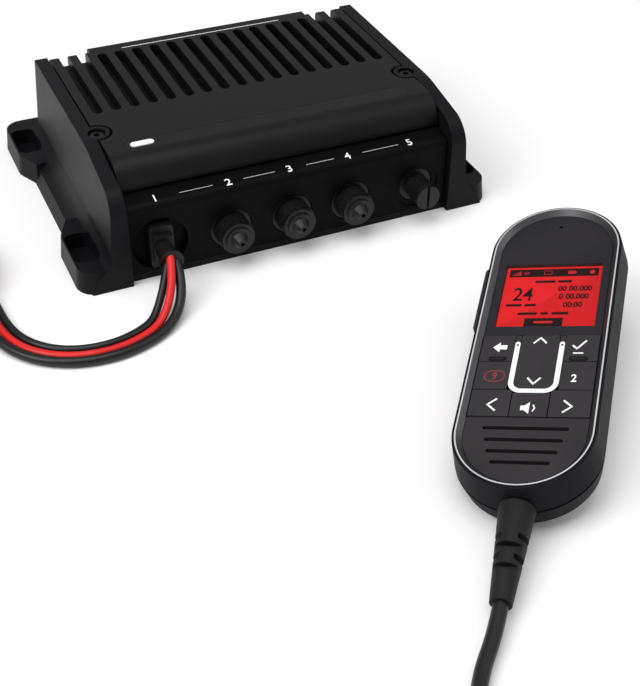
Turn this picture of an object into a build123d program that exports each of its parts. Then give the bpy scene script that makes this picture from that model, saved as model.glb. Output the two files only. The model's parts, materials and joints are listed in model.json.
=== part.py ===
"""VHF marine radio: a die-cast transceiver box with finned top, and its fist-microphone handset.

Units are millimetres. +X is to the right and +Z up. The box's connector face looks along -Y.
The origin is the centre of the four mounting holes, on the plane that the box stands on.
The handset is modelled in a frame of its own (X to its right, Y to its top end, Z out of its face)
and then laid on its back beside the box.
"""

import math
import os

from build123d import *

os.makedirs("parts", exist_ok=True)

# ------------------------------------------------------------------ general clearances
SEAT_GAP = 0.3          # between curved or moving neighbours
TINY = 0.05             # keeps flush faces of one body apart

# ------------------------------------------------------------------ transceiver box: feet
HOLE_SPAN_X = 222.0     # mounting holes, left to right
HOLE_SPAN_Y = 120.0     # mounting holes, front to back
HOLE_D = 5.8            # for an M5 or number 10 screw
LUG_SIDE = 9.0          # from a hole's centre to the outer side of its lug
LUG_END = 27.0          # from a hole's centre to the free end of its lug
LUG_LEN = 57.0          # a lug, from its free end to where it has run out into the flange
LUG_TAPER_LEN = 15.0    # the part of LUG_LEN in which it runs out
LUG_H = 12.5
LUG_DRAFT = 6.0         # degrees
LUG_CORNER_R = 11.0
POCKET_W = 13.5
POCKET_L = 28.0
POCKET_R = 4.5
POCKET_FLOOR = 3.0
FLANGE_STEP = 6.0       # the flange's edge lies this far inside the lugs' sides
FLANGE_H = 8.0
FLANGE_LEAN = 3.2       # how far its edge leans in over its height

# ------------------------------------------------------------------ transceiver box: casting
BOX_H = 61.5
BACK_RECESS = 25.5      # back of the side cheeks, in front of the back lugs' ends
CHEEK_IN = 92.0         # inner side of each cheek, from the middle
CHEEK_TOP_T = 7.3       # cheek at its top
CHEEK_FOOT_T = 10.3     # cheek at the top of the cove
COVE_TOP = 24.0
COVE_REACH = 8.5        # how far the cove runs out from the cheek
COVE_BOW = 0.32         # where the hollow curve's middle lies, as a share of its way
NOSE_LEN = 43.5         # from the cheek's front to where its top is level
NOSE_SLOPE = 11.3       # degrees, from there to the front
NOSE_R = 15.0
NOSE_BLEND_R = 60.0
FLOOR_T = 4.0
PANEL_SET_BACK = 4.0    # connector panel behind the fronts of the cheeks
PART_GAP = 0.9          # open joint between cheeks and the pieces between them
BOSS_R = 7.0            # cover screw boss
BOSS_INSET = 1.8        # its centre inside the cheek's inner side
BOSS_BEHIND = 54.4      # its centre behind the cheek's front
BOSS_H = 24.0
BOSS_RELIEF = 1.4
SCREW_HEAD_D = 7.0
SCREW_HEX_R = 1.9
SCREW_HEX_DEPTH = 2.0
SCREW_HEAD_H = 3.4
SCREW_D = 4.0
SCREW_L = 14.0
SCREW_SINK = 1.2
SCREW_BORE_D = 9.4

# ------------------------------------------------------------------ finned cover
COVER_T = 11.5
FIN_PITCH = 10.4
FIN_SLOTS = 17
OPEN_SLOTS = 2          # slots at each side that run out at the back
SLOT_W = 5.6
SLOT_DEPTH = 7.0
SLOT_BEHIND = 74.2      # a slot's front end behind the cheek's front
SLOT_STOP = 6.5         # a closed slot's back end in front of the cover's back
ROLL_R = 13.0           # rolled front edge
ROLL_BEHIND = 29.3      # where the level top ends, behind the cheek's front
ROLL_DROP = 1.6
ROLL_BLOCK = 12.7       # depth of the rolled edge's block
BACK_ROLL_R = 3.5
BACK_LIP = 5.0          # label strip beyond the fins' ends
PEDESTAL = (60.0, 34.0)
BACK_STRIP_W = 8.0      # the level strip behind the fins
PEDESTAL_IN = 35.5      # its centre in front of the cover's back
LABEL_L = 162.0         # inlay strip along the crease
LABEL_W = 10.0
LABEL_T = 0.4
LIGHT_X = -71.6
LIGHT_BEHIND = 5.9      # behind the crease of the rolled edge
LIGHT_L = 12.6
LIGHT_W = 4.6
LIGHT_RIM_L = 4.0       # the guide's foot is this much longer than its window
LIGHT_RIM_W = 3.0
LIGHT_RIM_T = 2.0
LIGHT_PROUD = 0.35
LIGHT_STEM = 16.0

# ------------------------------------------------------------------ connector panel and back panel
PANEL_T = 3.0
LEDGE_FRONT = 4.4       # from the panel's face to where the label ledge begins
LEDGE_BOW = 0.27        # where the ledge's curve has its middle, as a share of its way
LEDGE_DROP = 17.2       # the ledge there, below the box's top
LEDGE_SLOPE = 8.5       # degrees
LEDGE_LEN = 14.6
LEDGE_LAND = 6.0
PANEL_ARC_DROP = 4.9
SOCKET_Z = 18.9
ACCESSORY_X = (-35.9, -1.1, 33.4)
DATA_X = 73.6
POWER_X = -75.0
POWER_Z = 19.9
BACK_SOCKET_X = 58.0
BACK_SOCKET_Z = 25.0

# accessory sockets and their sealing caps
COLLAR_R = 11.4
COLLAR_SINK = 0.7
SHOULDER_R = 13.2
SHOULDER_T = 4.0
BARREL_R = 8.0
BARREL_OUT = 2.0
BARREL_BORE_R = 6.2
BARREL_IN = 18.0
BARREL_BORE_DEPTH = 15.0
RING_START = 0.6        # locking ring, distances out of the panel's face
RING_WEB = 6.4
RING_END = 7.9
RING_WALL = 1.3
RING_NOTCHES = 9
RING_NOTCH_W = 2.0
RING_NOTCH_DEPTH = 2.2
CAP_DISC_R = 8.95
CAP_DISC_T = 2.5
CAP_STEP_R = 6.9
CAP_STEP_T = 1.2
NIPPLE_R = 4.6
NIPPLE_TIP_R = 2.3
NIPPLE_L = 4.4
NIPPLE_HOLE_R = 1.1
NIPPLE_HOLE_DEPTH = 3.0

# data socket and its screw cap
DATA_RIM_R = 13.2
DATA_RIM_SINK = 1.0
DATA_HOLE_R = 9.9
DATA_NECK_SINK = 1.7
DATA_THREAD_R = 6.0
DATA_THREAD_OUT = 3.0
DATA_IN = 16.0
DATA_CAP_R = 7.0
DATA_CAP_START = 0.6
DATA_CAP_END = 14.3
DATA_SLOT_W = 1.7
DATA_SLOT_DEPTH = 2.0
DATA_SEAL_T = 1.8
DATA_GRIPS = 18
DATA_GRIP_R = 0.5
DATA_WALL = 1.5
DATA_BORE_IN = 2.0      # the bore's floor behind the panel's face
DATA_RIM_L = 1.5

# power inlet and plug
POWER_RECESS_R = 15.0
POWER_RECESS_DEPTH = 4.0
POWER_CUP_T = 2.0
PLUG_W = 12.6
PLUG_H = 24.0
PLUG_WALL = 3.0
PLUG_OUT = 3.1
PLUG_IN = 9.0
PLUG_R = 2.0
HOOD_W = 10.4
HOOD_H = 15.0
HOOD_T = 3.0
RELIEF_R = 6.5
RELIEF_RIBS = 3
RELIEF_RIB_T = 2.1
RELIEF_RIB_GAP = 1.2
RELIEF_CORE = 1.1       # each neck's radius is smaller than its rib's by this
RELIEF_TAPER = 0.1

# back sockets
ANTENNA_FLANGE = 25.0
ANTENNA_FLANGE_T = 1.8
ANTENNA_R = 7.9
ANTENNA_OUT = 14.0
ANTENNA_BORE_R = 6.3
ANTENNA_PIN_R = 2.0
ANTENNA_BORE_DEPTH = 5.0
ANTENNA_PIN_DEPTH = 11.0
ANTENNA_CORNER_R = 2.5
GPS_FLANGE_R = 8.2
GPS_FLANGE_T = 2.2
GPS_R = 5.6
GPS_OUT = 12.5
GPS_WALL = 1.5
GPS_BORE_DEPTH = 7.0
BACK_SOCKET_IN = 8.0

# electronics of the box
BOARD_T = 1.6
BOARD_Z = 8.0
BOARD_W = 164.0
BOARD_BEHIND = 29.0     # its front edge behind the cheeks' fronts
BOARD_IN = 9.5          # its back edge in front of the cover's back
BOARD_POST_R = 4.0
BOARD_POST_IN = 7.0
BOARD_SCREW_D = 3.0
MODULE_SIZE = (56.0, 30.0, 9.5)
SHIELD_H = 9.0
SHIELD_W = 30.0
SHIELD_L = 38.0
SHIELD_ASIDE = 8.0      # from the module's side
RECEIVER_BACK = 4.0     # its can's back edge behind the module's middle
CONTROL_CAN = (54.0, 28.0, 6.0)
CONTROL_X = 3.0
CONTROL_BEHIND = 16.0   # its can's front edge behind the board's

# ------------------------------------------------------------------ handset
HS_W = 64.0
HS_L = 176.0
HS_FRONT_H = 14.8       # front shell, from the joint of the shells to its lip
HS_REAR_H = 9.0
HS_WALL = 2.4
CAVITY_TAPER = 0.6      # the share of the outer draft that the hollow follows
HUMP_TAPER = 0.6
HS_DRAFT = 5.8
HS_REAR_DRAFT = 12.0
HUMP_L = 100.0
HUMP_W = 46.0
HUMP_H = 10.0
HUMP_R = 20.0
HUMP_DRAFT = 16.0
SEAL_T = 1.2
SEAL_SINK = 0.7
LIP_W = 1.0
TRIM_RISE = 0.6
TRIM_H = 3.4
TRIM_SEAT_T = 0.8
TRIM_EDGE = 0.8
TRIM_BEVEL = 2.2
FACE_DROP = 2.0         # face panels below the lip
FACE_T = 2.6
FACE_GAP = 0.25
DECK_T = 1.8
# heights above the handset's lower end
SEAM_UP = 89.0          # display panel above, keys below
KEYS_END_UP = 40.8      # keys above, grille panel below
KEY_ROW_1_UP = 72.8
KEY_ROW_2_UP = 56.2
U_TOP_UP = 83.7
U_BOTTOM_UP = 55.6
WINDOW_UP = 115.4
GRILLE_UP = (34.7, 28.4, 22.2, 16.4)
SPEAKER_UP = 27.0
HS_BOARD_END_UP = 47.0
LOW_SCREWS_UP = 32.0
# depths below its upper end
MIC_DOWN = 13.6
TALK_DOWN = 58.0
HUMP_DOWN = 68.0
STUD_DOWN = 53.0
KEY_SPLIT_X = 8.3
KEY_PROUD = 0.4
KEY_T = 1.8
KEY_GAP = 0.45
KEY_STEM_R = 1.8
KEY_TRAVEL = 0.8
KEY_STEM_X = 19.5
STEM_GAP = 0.1
KEY_RIM_GAP = 0.4
ARROW_STEM_X = 18.0
FULCRUM_R = 0.6         # the rounded rib that the rocker tips on
FULCRUM_GAP = 0.1
U_HALF = 9.9            # centre line of the light guide's arms
U_W = 2.3
U_R = 5.0
WINDOW_W = 45.4
WINDOW_H = 41.0
WINDOW_T = 1.4
WINDOW_SINK = 0.15
LCD_MARGIN = 2.0
LCD_T = 5.0
MIC_HOLE_R = 0.9
MIC_R = 4.0
MIC_T = 3.0
GRILLE_L = (36.8, 33.4, 30.2, 25.2)
GRILLE_W = 1.9
SPEAKER_R = 17.0
MAGNET_R = 10.2
SPEAKER_T = 7.4
HS_BOARD_T = 1.6
HS_BOARD_Z = 1.0
PTT_L = 42.0
PTT_H = 6.4
PTT_Z = 4.8
PTT_PROUD = 2.6
PTT_END_R = 2.34
TALK_DEEP = 7.2
PTT_T = 1.2
TALK_TRAVEL = 1.6
SWITCH_H = 2.3
SWITCH_W = 5.0
SWITCH_L = 8.0
PTT_RIM = 1.6
FLAP_BELOW = 52.0       # its centre below the talk key's
FLAP_Z = 5.9
FLAP_L = 22.0
FLAP_H = 7.4
FLAP_T = 1.6
FLAP_LIP_OUT = 0.7
FLAP_LIP_IN = 0.5
FLAP_LIP_L = 6.0
LIP_END = 1.0
FLAP_PIN_X = 1.1        # the pin's axis, inside the flap's outer face and below its upper edge
FLAP_PIN_R = 0.7
FLAP_BARREL_OUT = 1.0
FLAP_WELL = 4.6
FLAP_TUB_T = 1.4
DISTRESS_L = 12.0
DISTRESS_H = 4.4
DISTRESS_T = 1.2
DISTRESS_TRAVEL = 0.8
STUD_NECK_R = 4.0
STUD_BOSS_T = 2.0
STUD_BOSS_H = 4.0
STUD_SHANK_R = 3.0
STUD_SHANK_L = 5.0
STUD_EDGE_R = 0.8
STUD_NECK_H = 8.6
STUD_HEAD_R = 7.5
STUD_HEAD_H = 3.0
HS_SCREW_R = 2.6
HS_SCREW_H = 2.0
HS_SCREW_LIFT = 0.2     # its head's underside off the well's mouth
HIGH_SCREW_X = 14.0
HIGH_SCREWS_UP = 38.0   # above the middle of the raised back
LOW_SCREW_X = 17.0
BOOT_R = 7.8
BOOT_WAY = 9.6
BOOT_ROOT_L = 7.2
BOOT_TIP_R = 4.6
BOOT_Z = 2.5            # its axis above the joint of the shells
BOOT_L = 45.0
BOOT_ROOT_R = 6.4
BOOT_COLLAR_L = 14.0
BOOT_SLEEVE_L = 12.0
BOOT_SOCKET = 3.0       # how far the cord enters it
BOOT_SEGMENTS = 4
BOOT_SLIT = 2.6
HS_CORD_D = 6.4

# where the handset lies
HS_HEADING = 38.2       # its top end, degrees from +Y towards +X
HS_PITCH = 9.0          # top end up, on the stud
HS_LEAN = 14.0          # right side up, held so by the stiff cord
HS_X = 54.3
HS_Y = -246.3

# cords
LEAD_D = 4.2
BEND_SHARE = 0.45       # of the shorter run beside a bend, taken up by its arc
RING_ROUNDING = 0.3
WIDE_LEAD_D = 5.2
CORD_LEAD_OUT = 12.0    # how far it runs straight out of its boot
CORD_COIL_IN_R = 25.0
CORD_COIL_OUT_R = 40.0
CORD_COIL_H = 15.0
CORD_COIL_AT = (-96.0, -424.0)
LEAD_COIL_IN_R = 22.0
LEAD_COIL_OUT_R = 46.0
LEAD_COIL_H = 16.0
LEAD_COIL_AT = (-206.0, -44.0)
LEAD_DIAMETERS = {"lead_black": LEAD_D, "lead_red": LEAD_D, "lead_drain": WIDE_LEAD_D}
LEAD_ROUTES = {
    "lead_black": [
        (-77.5, -100.1, 18.6),
        (-82.0, -108.4, 13.4),
        (-87.4, -114.8, 6.2),
        (-93.5, -122.0, 2.3),
        (-103.0, -127.4, 2.3),
        (-116.3, -131.0, 2.3),
        (-132.5, -129.7, 2.3),
        (-146.6, -122.3, 2.3),
        (-156.5, -109.7, 2.3),
        (-160.5, -94.5, 2.3),
        (-161.5, -78.0, 2.3),
        (-162.8, -65.0, 2.3),
        (-162.4, -54.0, 2.3),
    ],
    "lead_red": [
        (-75.5, -100.1, 22.5),
        (-78.0, -110.0, 17.5),
        (-83.0, -118.5, 9.0),
        (-90.5, -126.0, 3.0),
        (-101.0, -132.0, 2.3),
        (-116.0, -136.0, 2.3),
        (-134.0, -134.5, 2.3),
        (-150.0, -126.0, 2.3),
        (-161.0, -112.0, 2.3),
        (-165.5, -95.0, 3.0),
        (-166.0, -78.0, 5.0),
        (-164.0, -63.0, 7.2),
    ],
    "lead_drain": [
        (-72.3, -100.1, 18.7),
        (-73.5, -111.0, 13.5),
        (-78.5, -121.0, 6.0),
        (-87.0, -129.8, 2.7),
        (-99.0, -136.9, 2.7),
        (-115.6, -141.3, 2.7),
        (-135.6, -139.6, 2.7),
        (-153.6, -129.9, 2.7),
        (-165.7, -114.4, 3.2),
        (-171.0, -97.0, 5.5),
        (-171.4, -82.0, 9.0),
        (-168.5, -70.5, 12.0),
    ],
}
CORD_TAIL = [(-113.0, -459.3, 10.1), (-122.0, -459.7, 9.8), (-134.0, -461.0, 9.1)]
CORD_PLUG_R = 8.8
CORD_PLUG_GRIPS = 12
CORD_PLUG_GRIP_R = 0.7
CORD_PLUG_RELIEF = (4.6, 6.2, 8.0)   # radius at the cord, at the grip, length
CORD_PLUG_GRIP_L = 18.0
CORD_PLUG_GROOVE_L = 12.0
CORD_PLUG_FLANGE_L = 3.0
CORD_PLUG_FLANGE_R = 7.92
CORD_PLUG_NOSE_R = 6.688
CORD_PLUG_NOSE_L = 9.0
CORD_PLUG_BORE_R = 5.456
CORD_PLUG_BORE_DEPTH = 4.0

# ------------------------------------------------------------------ derived sizes
LUG_X = HOLE_SPAN_X / 2 + LUG_SIDE
LUG_FRONT = -HOLE_SPAN_Y / 2 - LUG_END
LUG_BACK = HOLE_SPAN_Y / 2 + LUG_END
BODY_BACK = LUG_BACK - BACK_RECESS
NOSE_FLAT_Y = LUG_FRONT + NOSE_LEN
BOSS_Y = LUG_FRONT + BOSS_BEHIND
SLOT_FRONT_Y = LUG_FRONT + SLOT_BEHIND
SLOT_BACK_Y = BODY_BACK - SLOT_STOP
ROLL_CREASE_Y = LUG_FRONT + ROLL_BEHIND
LIGHT_Y = ROLL_CREASE_Y + LIGHT_BEHIND
PEDESTAL_Y = BODY_BACK - PEDESTAL_IN
BOARD_FRONT_Y = LUG_FRONT + BOARD_BEHIND
BOARD_BACK_Y = BODY_BACK - BOARD_IN
LEDGE_Z = BOX_H - LEDGE_DROP
FLANGE_X = LUG_X - FLANGE_STEP
PANEL_Y = LUG_FRONT + PANEL_SET_BACK
INSERT_X = CHEEK_IN - PART_GAP
COVER_UNDER = BOX_H - COVER_T
BOSS_X = CHEEK_IN - BOSS_INSET
ROLL_FRONT = ROLL_CREASE_Y - ROLL_R
ROLL_UNDER = BOX_H - ROLL_R - ROLL_DROP
PANEL_IN = PANEL_Y + PANEL_T
BACK_PANEL_IN = BODY_BACK - PANEL_T
BARREL_SPIGOT_R = BARREL_BORE_R - SEAT_GAP
RING_BORE_R = BARREL_R + SEAT_GAP
RING_R = RING_BORE_R + RING_WALL
BOARD_TOP = FLOOR_T + BOARD_Z + BOARD_T

HS_FOOT_Y = -HS_L / 2
HS_HEAD_Y = HS_L / 2
SEAM_Y = HS_FOOT_Y + SEAM_UP
KEYS_END_Y = HS_FOOT_Y + KEYS_END_UP
KEY_ROW_1_Y = HS_FOOT_Y + KEY_ROW_1_UP
KEY_ROW_2_Y = HS_FOOT_Y + KEY_ROW_2_UP
U_TOP_Y = HS_FOOT_Y + U_TOP_UP
U_BOTTOM_Y = HS_FOOT_Y + U_BOTTOM_UP
WINDOW_Y = HS_FOOT_Y + WINDOW_UP
GRILLE_Y = tuple(HS_FOOT_Y + up for up in GRILLE_UP)
SPEAKER_Y = HS_FOOT_Y + SPEAKER_UP
HS_BOARD_END_Y = HS_FOOT_Y + HS_BOARD_END_UP
MIC_Y = HS_HEAD_Y - MIC_DOWN
PTT_Y = HS_HEAD_Y - TALK_DOWN
FLAP_Y = PTT_Y - FLAP_BELOW
HUMP_Y = HS_HEAD_Y - HUMP_DOWN
STUD_Y = HS_HEAD_Y - STUD_DOWN
HIGH_SCREWS_Y = HUMP_Y + HIGH_SCREWS_UP
LOW_SCREWS_Y = HS_FOOT_Y + LOW_SCREWS_UP
HS_SCREW_POINTS = (
    (HIGH_SCREW_X, HIGH_SCREWS_Y),
    (-HIGH_SCREW_X, HIGH_SCREWS_Y),
    (LOW_SCREW_X, LOW_SCREWS_Y),
    (-LOW_SCREW_X, LOW_SCREWS_Y),
)
HS_FACE_Z = HS_FRONT_H - FACE_DROP
DECK_TOP = HS_FACE_Z - FACE_T
DECK_UNDER = DECK_TOP - DECK_T
FACE_INSET = math.tan(math.radians(HS_DRAFT)) * HS_FRONT_H
SEAT_INSET = FACE_INSET + LIP_W
TRIM_INSET = SEAT_INSET + TRIM_EDGE + TRIM_BEVEL
TALK_X = -HS_W / 2 + math.tan(math.radians(HS_DRAFT)) * PTT_Z
HS_BACK_Z = -HS_REAR_H - HUMP_H
HEEL_R = HS_W / 2 - math.tan(math.radians(HS_REAR_DRAFT)) * HS_REAR_H
HEEL_Y = -(HS_L - HS_W) / 2
FULCRUM_Y = (SEAM_Y + U_BOTTOM_Y) / 2
FULCRUM_Z = HS_FACE_Z + KEY_PROUD - KEY_T


# ------------------------------------------------------------------ helpers
def save(name, shape):
    """Write one node's STEP file."""
    export_step(shape, f"parts/{name}.step")


def rod(radius, start, end, x=0.0, z=0.0):
    """A round bar along Y, from y=start to y=end."""
    length = abs(end - start)
    return Pos(x, (start + end) / 2, z) * Rot(X=90) * Cylinder(radius, length)


def block(x0, x1, y0, y1, z0, z1):
    """A box given by its limits."""
    centre = Pos((x0 + x1) / 2, (y0 + y1) / 2, (z0 + z1) / 2)
    return centre * Box(x1 - x0, y1 - y0, z1 - z0)


def both_sides(shape):
    """The shape and its mirror image in the middle plane."""
    return shape + mirror(shape, Plane.YZ)


def along_x(profile, half_width):
    """Extrude a (y, z) profile from -half_width to +half_width."""
    plane = Plane(origin=(-half_width, 0, 0), x_dir=(0, 1, 0), z_dir=(1, 0, 0))
    return extrude(plane * profile, amount=2 * half_width)


def stadium(inset=0.0):
    """The handset's outline, moved inwards by inset."""
    return SlotOverall(HS_L - 2 * inset, HS_W - 2 * inset, rotation=90)


def stadium_block(inset, z0, z1, taper=0.0):
    """The handset's outline extruded between two heights."""
    amount = z1 - z0
    plane = Plane.XY.offset(z0)
    if amount < 0:
        plane = Plane(origin=(0, 0, z0), x_dir=(1, 0, 0), z_dir=(0, 0, -1))
    return extrude(plane * stadium(inset), amount=abs(amount), taper=taper)


# ------------------------------------------------------------------ the box's casting
def lug_outline(front):
    """Plan of a right-hand lug, running out into the flange; front or back one."""
    inward = 1 if front else -1
    run_out = LUG_LEN - LUG_TAPER_LEN
    points = [
        (CHEEK_IN + 1, 0),
        (LUG_X, 0),
        (LUG_X, inward * run_out),
        (FLANGE_X - 1, inward * LUG_LEN),
        (CHEEK_IN + 1, inward * LUG_LEN),
    ]
    if not front:
        points.reverse()
    face = make_face(Polyline(*points, close=True))
    corner = face.vertices().sort_by_distance((LUG_X, 0, 0))[0]
    face = fillet(corner, LUG_CORNER_R)
    knee = face.vertices().sort_by_distance((LUG_X, inward * run_out, 0))[0]
    return fillet(knee, LUG_CORNER_R)


def lug(front):
    """One right-hand lug, before its pocket and hole are cut."""
    end = LUG_FRONT if front else LUG_BACK
    return extrude(Pos(0, end) * lug_outline(front), amount=LUG_H, taper=LUG_DRAFT)


def pocket_cut(x, y):
    """What a lug's pocket and hole take away."""
    well = extrude(
        Plane.XY.offset(POCKET_FLOOR) * Pos(x, y) * RectangleRounded(POCKET_W, POCKET_L, POCKET_R),
        amount=LUG_H * 4,
    )
    return well + Pos(x, y, POCKET_FLOOR / 2) * Cylinder(HOLE_D / 2, POCKET_FLOOR * 2)


def cheek_section():
    """Section of the right-hand cheek, its cove and its flange, in (x, z)."""
    cove_start = (CHEEK_IN + CHEEK_FOOT_T, COVE_TOP)
    cove_end = (CHEEK_IN + CHEEK_FOOT_T + COVE_REACH, FLANGE_H)
    cove_mid = (
        cove_start[0] + COVE_REACH * COVE_BOW,
        FLANGE_H + (COVE_TOP - FLANGE_H) * COVE_BOW,
    )
    top = (CHEEK_IN + CHEEK_TOP_T, BOX_H)
    lines = [
        Line((CHEEK_IN, 0), (CHEEK_IN, BOX_H)),
        Line((CHEEK_IN, BOX_H), top),
        Line(top, cove_start),
        ThreePointArc(cove_start, cove_mid, cove_end),
        Line(cove_end, (cove_end[0] + FLANGE_LEAN, 0)),
        Line((cove_end[0] + FLANGE_LEAN, 0), (CHEEK_IN, 0)),
    ]
    return make_face(Curve() + lines)


def nose_profile(back):
    """Side view of a cheek in (y, z): level top, gentle slope, round nose, upright front."""
    nose_z = BOX_H - (NOSE_FLAT_Y - LUG_FRONT) * math.tan(math.radians(NOSE_SLOPE))
    face = make_face(
        Polyline(
            (back, 0),
            (back, BOX_H),
            (NOSE_FLAT_Y, BOX_H),
            (LUG_FRONT, nose_z),
            (LUG_FRONT, 0),
            close=True,
        )
    )
    nose = face.vertices().sort_by(Axis.X).sort_by_distance((LUG_FRONT, nose_z, 0))[0]
    face = fillet(nose, NOSE_R)
    bend = face.vertices().sort_by_distance((NOSE_FLAT_Y, BOX_H, 0))[0]
    return fillet(bend, NOSE_BLEND_R)


def chassis():
    """The casting: floor, side cheeks with coves, flanges, four lugs, bosses and board posts."""
    section_plane = Plane(origin=(0, BODY_BACK, 0), x_dir=(1, 0, 0), z_dir=(0, -1, 0))
    cheek = extrude(section_plane * cheek_section(), amount=BODY_BACK - LUG_FRONT)
    cheek = cheek & along_x(nose_profile(BODY_BACK), LUG_X)
    side = cheek + lug(True) + lug(False)
    boss_top = block(CHEEK_IN - BOSS_R * 2, CHEEK_IN + 1, BOSS_Y - BOSS_R, BOSS_Y + BOSS_R, 0, BOX_H)
    boss = Pos(BOSS_X, BOSS_Y, BOX_H - BOSS_H / 2) * Cylinder(BOSS_R, BOSS_H)
    side = side + (boss & boss_top)
    for y in (-HOLE_SPAN_Y / 2, HOLE_SPAN_Y / 2):
        side = side - pocket_cut(HOLE_SPAN_X / 2, y)
    bore = Pos(BOSS_X, BOSS_Y, BOX_H)
    side = side - bore * Cylinder(SCREW_BORE_D / 2, 2 * (SCREW_SINK + SCREW_HEAD_H))
    side = side - bore * Cylinder(SCREW_D / 2, 2 * (SCREW_SINK + SCREW_HEAD_H + SCREW_L))
    floor = block(-CHEEK_IN - 1, CHEEK_IN + 1, PANEL_Y, BODY_BACK, 0, FLOOR_T)
    casting = both_sides(side) + floor
    for x, y in board_points():
        post = Pos(x, y, FLOOR_T + BOARD_Z / 2) * Cylinder(BOARD_POST_R, BOARD_Z)
        casting = casting + post
        casting = casting - Pos(x, y, FLOOR_T + BOARD_Z) * Cylinder(BOARD_SCREW_D / 2, BOARD_Z)
    return casting


def board_points():
    """Where the box's board is screwed down."""
    x = BOARD_W / 2 - BOARD_POST_IN
    front = BOARD_FRONT_Y + BOARD_POST_IN
    back = BOARD_BACK_Y - BOARD_POST_IN
    return [(-x, front), (x, front), (-x, back), (x, back)]


# ------------------------------------------------------------------ the finned cover
def cover_profile(back):
    """Side view of the cover in (y, z): level top and rolled front edge."""
    roll_mid = math.radians(90) / 2
    crease = (ROLL_CREASE_Y, BOX_H)
    roll_end = (ROLL_FRONT, BOX_H - ROLL_R)
    middle = (
        ROLL_CREASE_Y - ROLL_R * math.sin(roll_mid),
        BOX_H - ROLL_R + ROLL_R * math.cos(roll_mid),
    )
    block_back = ROLL_FRONT + ROLL_BLOCK
    lines = [
        Line(crease, (back, BOX_H)),
        Line((back, BOX_H), (back, COVER_UNDER)),
        Line((back, COVER_UNDER), (block_back, COVER_UNDER)),
        Line((block_back, COVER_UNDER), (block_back, ROLL_UNDER)),
        Line((block_back, ROLL_UNDER), (ROLL_FRONT, ROLL_UNDER)),
        Line((ROLL_FRONT, ROLL_UNDER), roll_end),
        ThreePointArc(roll_end, middle, crease),
    ]
    return make_face(Curve() + lines)


def fin_slot(index):
    """What one of the cover's slots takes away; index counts from the middle."""
    x = index * FIN_PITCH
    last_closed = (FIN_SLOTS - 1) // 2 - OPEN_SLOTS
    back = SLOT_BACK_Y if abs(index) <= last_closed else BODY_BACK + SLOT_W * 2
    length = back - SLOT_FRONT_Y
    plan = Pos(x, SLOT_FRONT_Y + length / 2) * SlotOverall(length, SLOT_W, rotation=90)
    return extrude(Plane.XY.offset(BOX_H - SLOT_DEPTH) * plan, amount=SLOT_DEPTH + 1)


def heatsink_cover():
    """The finned cover, between the cheeks, with a pedestal that meets the power module."""
    body = along_x(cover_profile(BODY_BACK), INSERT_X)
    rear = body.edges().filter_by(Axis.X).sort_by_distance((0, BODY_BACK, BOX_H))[0]
    body = fillet(rear, BACK_ROLL_R)
    half_strip = ((FIN_SLOTS - 1) / 2 - OPEN_SLOTS + 0.5) * FIN_PITCH
    strip_back = BODY_BACK + BACK_LIP
    strip = block(-half_strip, half_strip, BODY_BACK - BACK_STRIP_W, strip_back, COVER_UNDER, BOX_H)
    strip_top = strip.edges().filter_by(Axis.X).sort_by_distance((0, BODY_BACK + BACK_LIP, BOX_H))[0]
    body = body + fillet(strip_top, BACK_ROLL_R)
    half = (FIN_SLOTS - 1) // 2
    for index in range(-half, half + 1):
        body = body - fin_slot(index)
    for side in (-1, 1):
        relief = Cylinder(BOSS_R + BOSS_RELIEF, BOSS_H + COVER_T)
        relief = Pos(side * BOSS_X, BOSS_Y, BOX_H - BOSS_H / 2) * relief
        body = body - relief
    module_top = BOARD_TOP + MODULE_SIZE[2] + TINY
    pedestal = block(
        -PEDESTAL[0] / 2,
        PEDESTAL[0] / 2,
        PEDESTAL_Y - PEDESTAL[1] / 2,
        PEDESTAL_Y + PEDESTAL[1] / 2,
        module_top,
        COVER_UNDER + 1,
    )
    body = body + pedestal
    body = body - extrude(Plane.XY.offset(BOX_H - LABEL_T) * label_outline(0.0), amount=1)
    return body - light_prism(SEAT_GAP / 2, BOX_H + 1)


def label_outline(inset):
    """Outline of the inlay strip, moved inwards by inset."""
    return Pos(0, LIGHT_Y) * SlotOverall(LABEL_L - 2 * inset, LABEL_W - 2 * inset)


def label_strip():
    """The inlay strip along the crease, flush in its recess, open at the status light."""
    strip = extrude(Plane.XY.offset(BOX_H - LABEL_T) * label_outline(SEAT_GAP / 2), amount=LABEL_T - TINY)
    return strip - light_prism(SEAT_GAP / 2, BOX_H + 1)


def light_prism(clearance, top):
    """The status light's pill shape from the cover's underside up to top, widened by clearance."""
    pill = SlotOverall(LIGHT_L + 2 * clearance, LIGHT_W + 2 * clearance)
    start = COVER_UNDER - LIGHT_STEM / 2
    return extrude(Plane.XY.offset(start) * Pos(LIGHT_X, LIGHT_Y) * pill, amount=top - start)


def status_light():
    """The light guide, from just under the cover to a little proud of it, with a retaining rim."""
    rim = Box(LIGHT_L + LIGHT_RIM_L, LIGHT_W + LIGHT_RIM_W, LIGHT_RIM_T)
    rim = Pos(LIGHT_X, LIGHT_Y, COVER_UNDER - LIGHT_RIM_T / 2) * rim
    guide = light_prism(0.0, BOX_H + LIGHT_PROUD)
    return guide + rim


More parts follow.
